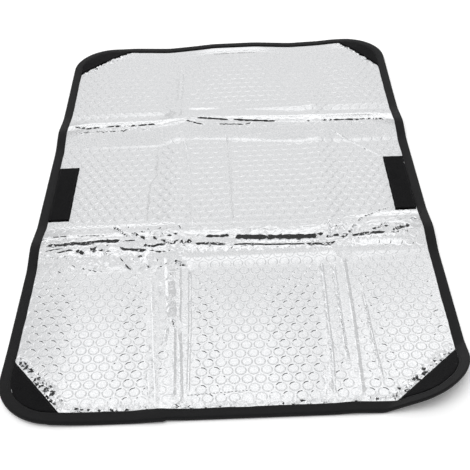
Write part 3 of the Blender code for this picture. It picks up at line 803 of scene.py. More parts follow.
@dataclass
class FilmPoints:
    """Plan points of the film with their lifts, kinds and forced edges."""

    places: list[np.ndarray] = field(default_factory=list)
    lifts: list[np.ndarray] = field(default_factory=list)
    creased: list[np.ndarray] = field(default_factory=list)
    leans: list[np.ndarray] = field(default_factory=list)
    edges: list[tuple[int, int]] = field(default_factory=list)
    count: int = 0

    def add(self, places: np.ndarray, lifts: np.ndarray, creased: float, line: bool = False,
            leans: np.ndarray | None = None) -> range:
        """Add points and, if they form a line, the edges between them.

        Args:
            places: Plan points.
            lifts: Their heights above the sheet's underside.
            creased: 1 for points of creases, 0 for smooth film.
            line: True to keep the edges from each point to the next.
            leans: How far the film's normal leans at each point, as a slope.

        Returns:
            The numbers of the added points.
        """
        self.leans.append(np.zeros((len(places), 2)) if leans is None else leans)
        self.places.append(places)
        self.lifts.append(lifts)
        self.creased.append(np.full(len(places), creased))
        numbers = range(self.count, self.count + len(places))
        if line:
            self.edges += list(zip(numbers, numbers[1:]))
        self.count += len(places)
        return numbers


@dataclass
class Crowding:
    """A fine grid that marks the places that points already take."""

    plan: SheetPlan
    cell: float = 0.5 * MM
    taken: np.ndarray = field(init=False)

    def __post_init__(self) -> None:
        """Start with an empty grid."""
        size = np.ceil(np.array((self.plan.half_width, self.plan.half_length)) * 2.0 / self.cell)
        self.taken = np.zeros(size.astype(int)[::-1] + 2, bool)

    def cells(self, points: np.ndarray) -> tuple[np.ndarray, np.ndarray]:
        """Row and column of each point."""
        low = np.array((self.plan.half_width, self.plan.half_length))
        found = ((points + low) / self.cell).astype(int)
        rows = np.clip(found[:, 1], 0, self.taken.shape[0] - 1)
        return rows, np.clip(found[:, 0], 0, self.taken.shape[1] - 1)

    def mark(self, points: np.ndarray, radius: float) -> None:
        """Mark a disc round each point."""
        reach = math.ceil(radius / self.cell)
        for step_x in range(-reach, reach + 1):
            for step_y in range(-reach, reach + 1):
                if math.hypot(step_x, step_y) * self.cell <= radius:
                    shift = np.array((step_x, step_y)) * self.cell
                    self.taken[self.cells(points + shift)] = True

    def free(self, points: np.ndarray) -> np.ndarray:
        """True for the points in unmarked cells."""
        return ~self.taken[self.cells(points)]


@dataclass(frozen=True)
class FoilFinish:
    """Aluminised polyester film, vacuum metallised and laminated on bubbles.

    It mirrors broad soft lights with a slight haze, so flats read as pale grey
    and every rim and wrinkle as a thin white or dark line. Its grain is drawn
    coarser than the real one, so that it shows.
    """

    colour: str = "#FCFCFD"
    dull_colour: str = "#E2E4E6"
    roughness: float = 0.1
    haze_mm: float = 14.0
    wrinkle_mm: float = 2.4
    grain_mm: float = 1.3

    def make(self) -> bpy.types.Material:
        """Build the material."""
        material, shader = start_material("metallised_bubble_film", {"Metallic": 1.0})
        tree = material.node_tree
        where = add_node(tree, "ShaderNodeTexCoord")
        creased = add_node(tree, "ShaderNodeAttribute", {"attribute_name": "creased"})
        haze = add_node(tree, "ShaderNodeTexNoise", {"Scale": 1.0 / (self.haze_mm * MM), "Detail": 3.0},
                        {"Vector": where.outputs["Object"]})
        speckle = add_node(tree, "ShaderNodeTexNoise", {"Scale": 1.0 / (self.grain_mm * MM), "Detail": 1.0},
                           {"Vector": where.outputs["Object"]})
        mottle = add_node(tree, "ShaderNodeMapRange", {1: 0.3, 2: 0.7}, {0: speckle.outputs["Fac"]})
        tint = add_node(tree, "ShaderNodeMix",
                        {"data_type": "RGBA", 6: linear(self.dull_colour), 7: linear(self.colour)},
                        {0: mottle.outputs[0]})
        rough = add_node(tree, "ShaderNodeMapRange", {3: self.roughness - 0.03, 4: self.roughness + 0.05},
                         {0: haze.outputs["Fac"]})
        wrinkles = add_node(tree, "ShaderNodeTexNoise", {
            "noise_type": "RIDGED_MULTIFRACTAL", "Scale": 1.0 / (self.wrinkle_mm * MM), "Detail": 2.0,
        }, {"Vector": where.outputs["Object"]})
        strength = add_node(tree, "ShaderNodeMapRange", {3: 0.02, 4: 0.5}, {0: creased.outputs["Fac"]})
        grain = add_node(tree, "ShaderNodeTexNoise", {"Scale": 1.0 / (self.grain_mm * MM), "Detail": 2.0},
                         {"Vector": where.outputs["Object"]})
        fine = add_node(tree, "ShaderNodeBump", {"Strength": 0.05, "Distance": 0.1 * MM},
                        {"Height": grain.outputs["Fac"]})
        coarse = add_node(tree, "ShaderNodeBump", {"Distance": 0.5 * MM},
                          {"Strength": strength.outputs[0], "Height": wrinkles.outputs["Fac"],
                           "Normal": fine.outputs["Normal"]})
        tree.links.new(tint.outputs[2], shader.inputs["Base Color"])
        tree.links.new(rough.outputs[0], shader.inputs["Roughness"])
        tree.links.new(coarse.outputs["Normal"], shader.inputs["Normal"])
        return material


@dataclass(frozen=True)
class WovenFinish:
    """Black polyester weave, calendered, with a dull sheen on its ribs: a little shader sheen and a painted
    highlight in a lighter colour.

    Its threads are drawn wider than real ones, so that the ribs show.
    """

    name: str
    colour: str
    thread_mm: float
    lit_colour: str = "#222223"
    roughness: float = 0.8
    relief_mm: float = 0.12
    bands_per_unit: float = 3.18
    uses_uv: bool = False

    def make(self) -> bpy.types.Material:
        """Build the material: crossed waves as threads, with a fibre noise."""
        material, shader = start_material(self.name, {
            "Roughness": self.roughness, "Sheen Weight": 0.08, "Sheen Roughness": 0.5,
            "Specular IOR Level": 0.2,
        })
        tree = material.node_tree
        where = add_node(tree, "ShaderNodeTexCoord")
        source = where.outputs["UV" if self.uses_uv else "Object"]
        waves = []
        for direction in ("X", "Y"):
            waves.append(add_node(tree, "ShaderNodeTexWave", {
                "bands_direction": direction, "Scale": 1.0 / (self.thread_mm * MM) / self.bands_per_unit,
                "Distortion": 0.6, "Detail": 1.0, "Detail Scale": 2.0,
            }, {"Vector": source}))
        weave = add_node(tree, "ShaderNodeMath", {"operation": "MULTIPLY"},
                         {0: waves[0].outputs["Fac"], 1: waves[1].outputs["Fac"]})
        fibre = add_node(tree, "ShaderNodeTexNoise", {"Scale": 1.0 / (6.0 * MM), "Detail": 5.0},
                         {"Vector": where.outputs["Object"]})
        shade = add_node(tree, "ShaderNodeMath", {"operation": "MULTIPLY"},
                         {0: weave.outputs[0], 1: fibre.outputs["Fac"]})
        # Painted highlight: the lighter lit colour goes where the crossed waves run high, on the ribs' raised
        # crests, varied at random by the fibre noise
        tint = add_node(tree, "ShaderNodeMix",
                        {"data_type": "RGBA", 6: linear(self.colour), 7: linear(self.lit_colour)},
                        {0: shade.outputs[0]})
        bump = add_node(tree, "ShaderNodeBump", {"Strength": 0.6, "Distance": self.relief_mm * MM},
                        {"Height": weave.outputs[0]})
        tree.links.new(tint.outputs[2], shader.inputs["Base Color"])
        tree.links.new(bump.outputs["Normal"], shader.inputs["Normal"])
        return material


@dataclass(frozen=True)
class LoopFinish:
    """Nylon loop pile, knitted and napped: matt black with a soft nap.

    Its loops are drawn larger than real ones, so that the pile shows.
    """

    colour: str = "#111112"
    lit_colour: str = "#19191A"
    loop_mm: float = 1.1
    nap_mm: float = 9.0

    def make(self) -> bpy.types.Material:
        """Build the material: small round loops over a slow nap."""
        material, shader = start_material("napped_loop_pile", {
            "Roughness": 0.95, "Sheen Weight": 0.05, "Sheen Roughness": 0.4, "Specular IOR Level": 0.1,
        })
        tree = material.node_tree
        where = add_node(tree, "ShaderNodeTexCoord")
        loops = add_node(tree, "ShaderNodeTexVoronoi", {"Scale": 1.0 / (self.loop_mm * MM)},
                         {"Vector": where.outputs["Object"]})
        nap = add_node(tree, "ShaderNodeTexNoise", {"Scale": 1.0 / (self.nap_mm * MM), "Detail": 4.0},
                       {"Vector": where.outputs["Object"]})
        tint = add_node(tree, "ShaderNodeMix",
                        {"data_type": "RGBA", 6: linear(self.colour), 7: linear(self.lit_colour)},
                        {0: nap.outputs["Fac"]})
        bump = add_node(tree, "ShaderNodeBump", {"Strength": 0.9, "Distance": 0.35 * MM},
                        {"Height": loops.outputs["Distance"]})
        tree.links.new(tint.outputs[2], shader.inputs["Base Color"])
        tree.links.new(bump.outputs["Normal"], shader.inputs["Normal"])
        return material


def show_piece(name: str, mesh: bpy.types.Mesh) -> bpy.types.Object:
    """Show a finished mesh as a piece that rides on the shade, and report it."""
    piece = add_object(name, mesh)
    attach(piece, BODY)
    log.info("%s: %d faces", name, len(mesh.polygons))
    return piece


def make_piece(name: str, points: np.ndarray, faces: list[tuple[int, ...]], material: bpy.types.Material) -> bpy.types.Object:
    """Make a piece from points and faces.

    Args:
        name: The piece's name.
        points: n by 3 points in the frame.
        faces: Corner numbers of each face, facing out.
        material: Its finish.

    Returns:
        The piece.
    """
    mesh = bpy.data.meshes.new(name)
    mesh.from_pydata(points.tolist(), [], faces)
    mesh.materials.append(material)
    mesh.validate()
    return show_piece(name, mesh)


def cut_plan(points: np.ndarray, ring: int, edges: Sequence[tuple[int, int]]
             ) -> tuple[np.ndarray, list[list[int]], np.ndarray]:
    """Cut a plan into triangles inside its outline.

    Args:
        points: Plan points in metres, the outline first.
        ring: How many of them are the outline, anticlockwise.
        edges: Pairs of point numbers that must be edges.

    Returns:
        The corner points, the triangles, and for each corner the number of
        the given point that it came from, or -1 where edges cross.
    """
    corners = [Vector(p) for p in (points / MM).tolist()]
    found = delaunay_2d_cdt(corners, list(edges), [list(range(ring))], 1, 0.001)
    places, _, faces, sources, _, face_sources = found
    triangles = [face for face, source in zip(faces, face_sources) if source]
    origin = np.array([source[0] if source else -1 for source in sources])
    return np.array([tuple(p) for p in places]) * MM, triangles, origin


def outer_loop(triangles: list[list[int]]) -> list[int]:
    """Corner numbers round the outside of a set of triangles, in order."""
    directed = {(face[i], face[(i + 1) % 3]) for face in triangles for i in range(3)}
    following = {start: end for start, end in directed if (end, start) not in directed}
    loop = [min(following)]
    while following[loop[-1]] != loop[0]:
        loop.append(following[loop[-1]])
    return loop


def coarse_plan(outline: np.ndarray) -> tuple[np.ndarray, list[list[int]], np.ndarray]:
    """Cut a plan into coarse triangles on a given outline, as cut_plan does."""
    low, high = outline.min(axis=0) + 12.0 * MM, outline.max(axis=0) - 8.0 * MM
    grid = grid_points(np.arange(low[0], high[0], 12.0 * MM), np.arange(low[1], high[1], 10.0 * MM))
    return cut_plan(np.concatenate([outline, grid]), len(outline), ())


def matching_loop(origin: np.ndarray, count: int, shift: int) -> list[int]:
    """Corner numbers of a cut plan's outline, in the outline's order."""
    where = {int(source): number for number, source in enumerate(origin)}
    return [shift + where[i] for i in range(count)]


def wall(upper: list[int], lower: list[int]) -> list[tuple[int, ...]]:
    """Faces between two loops of corners, anticlockwise seen from above."""
    pairs = list(zip(upper, lower))
    return [(a, low_a, low_b, b) for (a, low_a), (b, low_b) in zip(pairs, pairs[1:] + pairs[:1])]


@dataclass
class FoilSheet:
    """Bubble film between metallised films, with its creases and crumples."""

    plan: SheetPlan
    drape: Drape
    finish: FoilFinish = field(default_factory=FoilFinish)
    bubble_pitch: float = 11.3 * MM
    rise: float = 0.6 * MM
    radii: tuple[float, ...] = (3.9 * MM, 4.4 * MM, 4.85 * MM, 5.3 * MM)
    levels: tuple[float, ...] = (1.0, 0.65, 0.3, 0.0)
    near_radii: tuple[float, ...] = (3.8 * MM, 4.15 * MM, 4.5 * MM, 5.05 * MM, 5.4 * MM)
    near_levels: tuple[float, ...] = (1.0, 0.5, -0.1, 0.3, 0.4)
    near_end: float = -132.0 * MM
    half_rows: int = 33
    half_columns: int = 19
    panel_ends: tuple[float, ...] = (-62.0 * MM, 97.0 * MM)
    panel_middles: tuple[float, ...] = (-125.0, 10.0, 158.0)
    pinch: float = 46.0
    pinch_swing: float = 40.0
    pinch_spread: float = 34.0
    least_pinch: float = 0.3
    segments: int = 12
    clamp: float = 10.6 * MM
    crease_fade: float = 5.0 * MM
    scatter: float = 0.42
    beside_patch: float = 3.0 * MM
    beside_tape: float = 2.0 * MM
    crush_run: tuple[float, float] = (0.02, 0.45)
    puff_range: tuple[float, float] = (0.85, 1.08)
    least_puff: float = 0.3
    bubble_room: float = 5.4 * MM
    seed: int = 7
    random: np.random.Generator = field(init=False)
    points: FilmPoints = field(default_factory=FilmPoints)
    crowding: Crowding = field(init=False)

    def __post_init__(self) -> None:
        """Start the seeded random draws and the grid of taken places."""
        self.random = np.random.default_rng(self.seed)
        self.crowding = Crowding(self.plan)

    def pressed(self, points: np.ndarray, margin: float) -> np.ndarray:
        """True where the binding or a patch presses the film flat."""
        flat = self.plan.depth(points) < self.clamp + margin
        for patch in CORNER_PATCHES:
            inside = patch.beyond(self.plan, points) > -margin
            flat |= inside & (points[:, 0] * patch.across > 0.0) & (points[:, 1] * patch.along > 0.0)
        for side in SIDE_PATCHES:
            flat |= side.holds(self.plan, points, margin)
        return flat

    def add_rims(self) -> int:
        """Add the outline and the line where the binding ends."""
        outer, inward = self.plan.rim(6.0 * MM, 6.0)
        rim = outer + inward * FILM_INSET
        self.points.add(rim, np.full(len(rim), FILM_HIGH), 0.0)
        fine, fine_in = self.plan.rim(4.0 * MM, 6.0)
        for inset, lift in ((7.0 * MM, 0.0), (self.clamp, -0.1 * MM)):
            wobble = self.random.normal(0.0, 0.25 * MM, len(fine))[:, None]
            ring = fine + fine_in * (inset + wobble * (lift < 0.0))
            numbers = self.points.add(ring, np.full(len(ring), FILM_HIGH + lift), 0.0, line=True)
            self.points.edges.append((numbers[-1], numbers[0]))
        self.crowding.mark(self.points.places[-1], 1.6 * MM)
        self.add_press_lines()
        return len(rim)

    def add_press_lines(self) -> None:
        """Add lines that hold the film down under the patches' free edges."""
        lines = [patch.ends(self.plan) for patch in CORNER_PATCHES]
        outside = self.plan.half_width - PATCH_INSET - 1.0 * MM
        for side in SIDE_PATCHES:
            box = side.corners(self.plan)
            free = [c for c in box if abs(c[0]) < outside]
            outer = [c for c in box if abs(c[0]) >= outside]
            lines.append((free[0], free[1]))
            for a in free:
                lines.append((a, min(outer, key=lambda c: abs(c[1] - a[1]))))
        lines += [tuple(self.drape.under_sight(seam)) for seam in SEAMS]
        for start, end in lines:
            count = max(4, round(np.linalg.norm(end - start) / (3.0 * MM)))
            line = straight(start, end, count)
            inside = self.plan.depth(line) > self.clamp + 0.8 * MM
            self.points.add(line[inside], np.full(inside.sum(), FILM_HIGH), 0.0, line=True)
            self.crowding.mark(line, 1.1 * MM)

    def add_crease(self, crease: Crease) -> None:
        """Add the lines of one crease, ragged along its length."""
        path = self.drape.under_sight(crease.path)
        lengths = np.linalg.norm(np.diff(path, axis=0), axis=1)
        stops = np.concatenate([[0.0], np.cumsum(lengths)])
        count = max(3, round(stops[-1] / MM / crease.step) + 1)
        along = np.linspace(0.0, stops[-1], count)
        spine = np.column_stack([np.interp(along, stops, path[:, k]) for k in (0, 1)])
        across = left_of(np.gradient(spine, axis=0))
        fade = np.minimum(1.0, np.minimum(along, stops[-1] - along) / self.crease_fade)
        swell = np.clip(1.0 + self.random.normal(0.0, crease.ragged, count), 0.1, 1.9)
        wander = self.random.normal(0.0, crease.ragged * 0.5, count) * MM
        keep = self.plan.depth(spine) > self.clamp + 0.2 * MM
        for offset, lift in crease.section.value:
            jitter = self.random.normal(0.0, crease.ragged * 0.25, count) * MM
            aside = offset * crease.width * MM * (0.7 + 0.3 * swell) + wander + jitter
            line = spine + across * aside[:, None]
            lifts = CREASED_HIGH + lift * crease.rise * MM * fade * swell
            self.points.add(line[keep], lifts[keep], 1.0, line=True)
        reach = max(abs(offset) for offset, _ in crease.section.value) * crease.width * MM
        self.crowding.mark(spine, reach + 1.0 * MM)

    def crumples(self) -> list[tuple[Crumple, np.ndarray]]:
        """All crumpled ovals with their middles in plan."""
        found = [(crumple, self.drape.under_sight([middle])[0]) for middle, crumple in CRUMPLES]
        for patch, (width, relief) in zip(CORNER_PATCHES, PATCH_CRUMPLES):
            start, end = patch.ends(self.plan)
            line = end - start
            length = np.linalg.norm(line) / MM
            turn = math.degrees(math.atan2(line[1], line[0]))
            outward = np.array((patch.across, patch.along)) / math.sqrt(2.0)
            middle = (start + end) / 2.0 - outward * self.beside_patch
            found.append((Crumple((length * 0.72, width), turn, 2.4, relief, 1.0), middle))
        near = -self.plan.half_length + self.clamp + self.beside_tape
        for across, reach, pitch, relief in NEAR_CRUMPLES:
            found.append((Crumple(reach, 0.0, pitch, relief, 1.0), np.array((across * MM, near))))
        return found

    def strength(self, points: np.ndarray, crumples: list[tuple[Crumple, np.ndarray]]) -> np.ndarray:
        """Greatest crumpling at each point."""
        return np.max([c.weight(points, middle) for c, middle in crumples], axis=0)

    def add_crumples(self, crumples: list[tuple[Crumple, np.ndarray]]) -> None:
        """Scatter facet corners over the crumpled ovals."""
        for crumple, middle in crumples:
            angle = math.radians(crumple.turn)
            along = np.array((math.cos(angle), math.sin(angle)))
            across = np.array((-along[1], along[0]))
            step_u = crumple.pitch * math.sqrt(crumple.stretch)
            step_v = crumple.pitch / math.sqrt(crumple.stretch)
            us = np.arange(-crumple.reach[0], crumple.reach[0], step_u)
            vs = np.arange(-crumple.reach[1], crumple.reach[1], step_v)
            grid_u, grid_v = grid_points(us, vs).T
            grid_u = grid_u + self.random.uniform(-self.scatter, self.scatter, len(grid_u)) * step_u
            grid_v = grid_v + self.random.uniform(-self.scatter, self.scatter, len(grid_v)) * step_v
            sites = middle + (grid_u[:, None] * along + grid_v[:, None] * across) * MM
            weight = crumple.weight(sites, middle)
            chance = np.clip(self.random.normal(0.25, 0.8, len(sites)), -0.9, 1.7)
            lifts = weight * crumple.relief * MM * chance
            keep = (weight > 0.03) & ~self.pressed(sites, 0.6 * MM) & self.crowding.free(sites)
            self.points.add(sites[keep], CREASED_HIGH + lifts[keep], 1.0)
            self.crowding.mark(sites[keep], crumple.pitch * self.scatter * MM)

    def add_bubbles(self, crumples: list[tuple[Crumple, np.ndarray]]) -> None:
        """Add the honeycomb of bubbles where nothing presses the film."""
        row_pitch = self.bubble_pitch * math.sqrt(3.0) / 2.0
        rows = np.arange(-self.half_rows, self.half_rows + 1)
        columns = np.arange(-self.half_columns, self.half_columns + 1)
        grid_c, grid_r = grid_points(columns, rows).T
        lattice = np.column_stack([(grid_c + 0.5 * (grid_r % 2)) * self.bubble_pitch, grid_r * row_pitch])
        tops = lattice[self.plan.depth(lattice) > self.clamp + 2.0 * MM]
        crushed = self.strength(tops, crumples)
        near_press = self.pressed(tops, 3.4 * MM)
        squeezed = self.crowded_share(tops)
        puff = (1.0 - smooth_step(crushed, *self.crush_run)) * (1.0 - 0.9 * squeezed)
        puff *= self.random.uniform(*self.puff_range, len(tops))
        keep = (puff > self.least_puff) & ~near_press
        tops, puff = tops[keep], puff[keep]
        angles = np.arange(self.segments) * 2.0 * math.pi / self.segments
        circle = rays(angles)
        self.points.add(tops, FILM_HIGH + self.rise * puff, 0.0)
        near = tops[:, 1] < self.near_end
        outward = np.tan(np.radians(self.rim_angle(tops)))[:, None] * np.ones(self.segments)
        none = np.zeros_like(outward)
        back = -self.pinched(tops, angles)
        profiles = (
            (near, self.near_radii, self.near_levels, (none, outward, back, back, none)),
            (~near, self.radii, self.levels, (none, outward, outward, none)),
        )
        for chosen, radii, levels, slopes in profiles:
            for radius, level, slope in zip(radii, levels, slopes):
                steep = (slope * puff[:, None])[chosen][..., None] * circle[None]
                ring = (tops[chosen][:, None] + circle[None] * radius).reshape(-1, 2)
                lifts = np.repeat(FILM_HIGH + self.rise * puff[chosen] * level, self.segments)
                free = self.crowding.free(ring) & ~self.pressed(ring, 0.3 * MM)
                self.points.add(ring[free], lifts[free], 0.0, leans=steep.reshape(-1, 2)[free])
        self.crowding.mark(tops, self.bubble_room)
        to_hollow = (0.0, row_pitch * 2.0 / 3.0)
        hollows = np.concatenate([lattice + to_hollow, lattice - to_hollow])
        free = self.crowding.free(hollows) & (self.plan.depth(hollows) > self.clamp + 1.5 * MM)
        free &= ~self.pressed(hollows, 0.3 * MM)
        between = np.where(hollows[free][:, 1] < self.near_end, self.near_levels[-1] * self.rise, 0.0)
        self.points.add(hollows[free], FILM_HIGH + between, 0.0)

    def pinched(self, tops: np.ndarray, angles: np.ndarray) -> np.ndarray:
        """Slope of the normals in the pinch that rings each bubble of the near panels.

        The film is drawn tight from the middle of each panel, so the pinch is
        deepest on the far side, away from that middle.

        Args:
            tops: Plan points of the bubbles' tops.
            angles: Angles round a bubble, from the right, anticlockwise.

        Returns:
            One slope for each bubble and angle.
        """
        panels = np.searchsorted(self.panel_ends, tops[:, 0], side="right")
        middles = np.array(self.panel_middles)[panels] * MM
        away = (tops[:, 0] - middles) / MM
        deepest = math.pi / 2.0 + np.radians(self.pinch_swing) * np.tanh(away / 14.0)
        turn = (angles[None] - deepest[:, None] + math.pi) % (2.0 * math.pi) - math.pi
        share = smooth_step(np.abs(away), 2.0, 34.0) * (0.55 + 0.45 * smooth_step(-tops[:, 1], 0.13, 0.19))
        bell = np.exp(-(turn / math.radians(self.pinch_spread)) ** 2)
        peak = np.clip(2.8 * bell, 0.0, 1.0) * share[:, None]
        return np.tan(np.radians(self.pinch * np.maximum(self.least_pinch, peak)))

    @staticmethod
    def rim_angle(tops: np.ndarray) -> np.ndarray:
        """Tilt of the normals on each bubble's rim, in degrees."""
        rows, angles = np.array(RIM_ANGLES).T
        return np.interp(tops[:, 1], rows * MM, angles)

    @staticmethod
    def panel_lean(points: np.ndarray) -> np.ndarray:
        """Lean of the film's normals, as slopes to the right and away.

        The outer near panels lean in towards the lengthwise folds, and the
        folds lean towards the near edge.
        """
        places, leans = np.array(PANEL_LEANS).T
        angles = np.interp(points[:, 0], places * MM, leans)
        near = 1.0 - smooth_step(points[:, 1], *NEAR_PANELS_END)
        away = -sum(slope * band.share(points[:, 1]) for band, slope in FOLD_LEANS)
        return np.column_stack([np.tan(np.radians(angles)) * near, away])

    @staticmethod
    def evened(plan: np.ndarray, upward: np.ndarray) -> np.ndarray:
        """Even out the normals at the foot of the lower fold, which looks flatter than the mesh."""
        foot = FOLD_FOOT.share(plan[:, 1])
        return upward * np.column_stack([np.ones(len(foot)), 1.0 - 0.8 * foot, np.ones(len(foot))])

    def crowded_share(self, tops: np.ndarray) -> np.ndarray:
        """Share of each bubble's rim that creases already take."""
        circle = rays(np.arange(8) * math.pi / 4.0) * 3.6 * MM
        rim = (tops[:, None] + circle[None]).reshape(-1, 2)
        return 1.0 - self.crowding.free(rim).reshape(len(tops), -1).mean(axis=1)

    def build(self) -> bpy.types.Object:
        """Build the film as one closed sheet."""
        ring = self.add_rims()
        for crease in (*LOWER_CREASES, *UPPER_CREASES, *LONG_CREASES, *PUCKERS):
            self.add_crease(crease)
        crumples = self.crumples()
        self.add_crumples(crumples)
        self.add_bubbles(crumples)
        places = np.concatenate(self.points.places)
        lifts = np.concatenate(self.points.lifts)
        creased = np.concatenate(self.points.creased)
        plan, over, origin = cut_plan(places, ring, self.points.edges)
        known = origin >= 0
        top_lifts = np.where(known, lifts[origin], CREASED_HIGH)
        marks = np.where(known, creased[origin], 1.0)
        loop = outer_loop(over)
        below_plan, below, below_origin = coarse_plan(plan[loop])
        top = self.drape.lay(plan, top_lifts)
        bottom = self.drape.lay(below_plan, FILM_LOW)
        shift = len(top)
        faces: list[tuple[int, ...]] = [tuple(face) for face in over]
        flat_shaded = [marks[list(face)].sum() > 1.5 for face in over]
        faces += [tuple(shift + i for i in reversed(face)) for face in below]
        faces += wall(loop, matching_loop(below_origin, len(loop), shift))
        piece = make_piece("foil_bubble_sheet", np.concatenate([top, bottom]), faces,
                           self.finish.make())
        mesh = piece.data
        smooth = np.ones(len(mesh.polygons), bool)
        smooth[:len(flat_shaded)] = ~np.array(flat_shaded)
        mesh.polygons.foreach_set("use_smooth", smooth)
        rims = np.where(known[:, None], np.concatenate(self.points.leans)[origin], 0.0)
        self.set_normals(mesh, top, np.array(over), np.array(flat_shaded), plan, rims)
        attribute = mesh.attributes.new("creased", "FLOAT", "POINT")
        attribute.data.foreach_set("value", np.concatenate([marks, np.zeros(len(bottom))]).astype(np.float32))
        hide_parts("foil_bubble_panel")
        return piece

    def set_normals(self, mesh: bpy.types.Mesh, top: np.ndarray, over: np.ndarray, flat_shaded: np.ndarray,
                    plan: np.ndarray, rims: np.ndarray) -> None:
        """Give the film's upper side normals that show rims and leans which its mesh doesn't have.

        Args:
            mesh: The film, whose first faces are those of its upper side.
            top: Points of the upper side.
            over: Corner numbers of its triangles.
            flat_shaded: For each triangle, whether it is a flat facet.
            plan: Plan points of the upper side.
            rims: Slope of the bubbles' rims at each point.
        """
        step = 0.5 * MM
        ahead, behind = (self.drape.lay(plan + (0.0, side * step), FILM_HIGH) for side in (1.0, -1.0))
        right, left = (self.drape.lay(plan + (side * step, 0.0), FILM_HIGH) for side in (1.0, -1.0))
        upward = self.evened(plan, np.cross(right - left, ahead - behind))
        facing = np.cross(top[over[:, 1]] - top[over[:, 0]], top[over[:, 2]] - top[over[:, 0]])
        broad = self.panel_lean(plan)
        flat = flat_shaded[:, None, None]
        normals = np.where(flat, facing[:, None, :], upward[over])
        normals /= np.maximum(np.linalg.norm(normals, axis=2), 1e-12)[..., None]
        normals[..., :2] += np.where(flat, broad[over].mean(axis=1)[:, None, :], (broad + rims)[over])
        normals /= np.linalg.norm(normals, axis=2)[..., None]
        every = np.zeros((len(mesh.loops), 3))
        every[:normals.size // 3] = normals.reshape(-1, 3)
        mesh.normals_split_custom_set(every.tolist())


@dataclass
class BackingCloth:
    """Black cloth that backs the whole film."""

    plan: SheetPlan
    drape: Drape

    def build(self) -> bpy.types.Object:
        """Build the cloth as one thin closed sheet."""
        outer, inward = self.plan.rim(8.0 * MM, 9.0)
        outline = outer + inward * FILM_INSET
        plan, faces, _ = coarse_plan(outline)
        top = self.drape.lay(plan, CLOTH_HIGH)
        bottom = self.drape.lay(plan, CLOTH_LOW)
        loop = outer_loop(faces)
        count = len(plan)
        every = [tuple(face) for face in faces]
        every += [tuple(count + i for i in reversed(face)) for face in faces]
        every += wall(loop, [count + i for i in loop])
        finish = WovenFinish("plain_woven_polyester", "#141415", 0.7)
        piece = make_piece("black_backing_cloth", np.concatenate([top, bottom]), every,
                           finish.make())
        piece.data.shade_smooth()
        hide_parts("backing_cloth")
        return piece


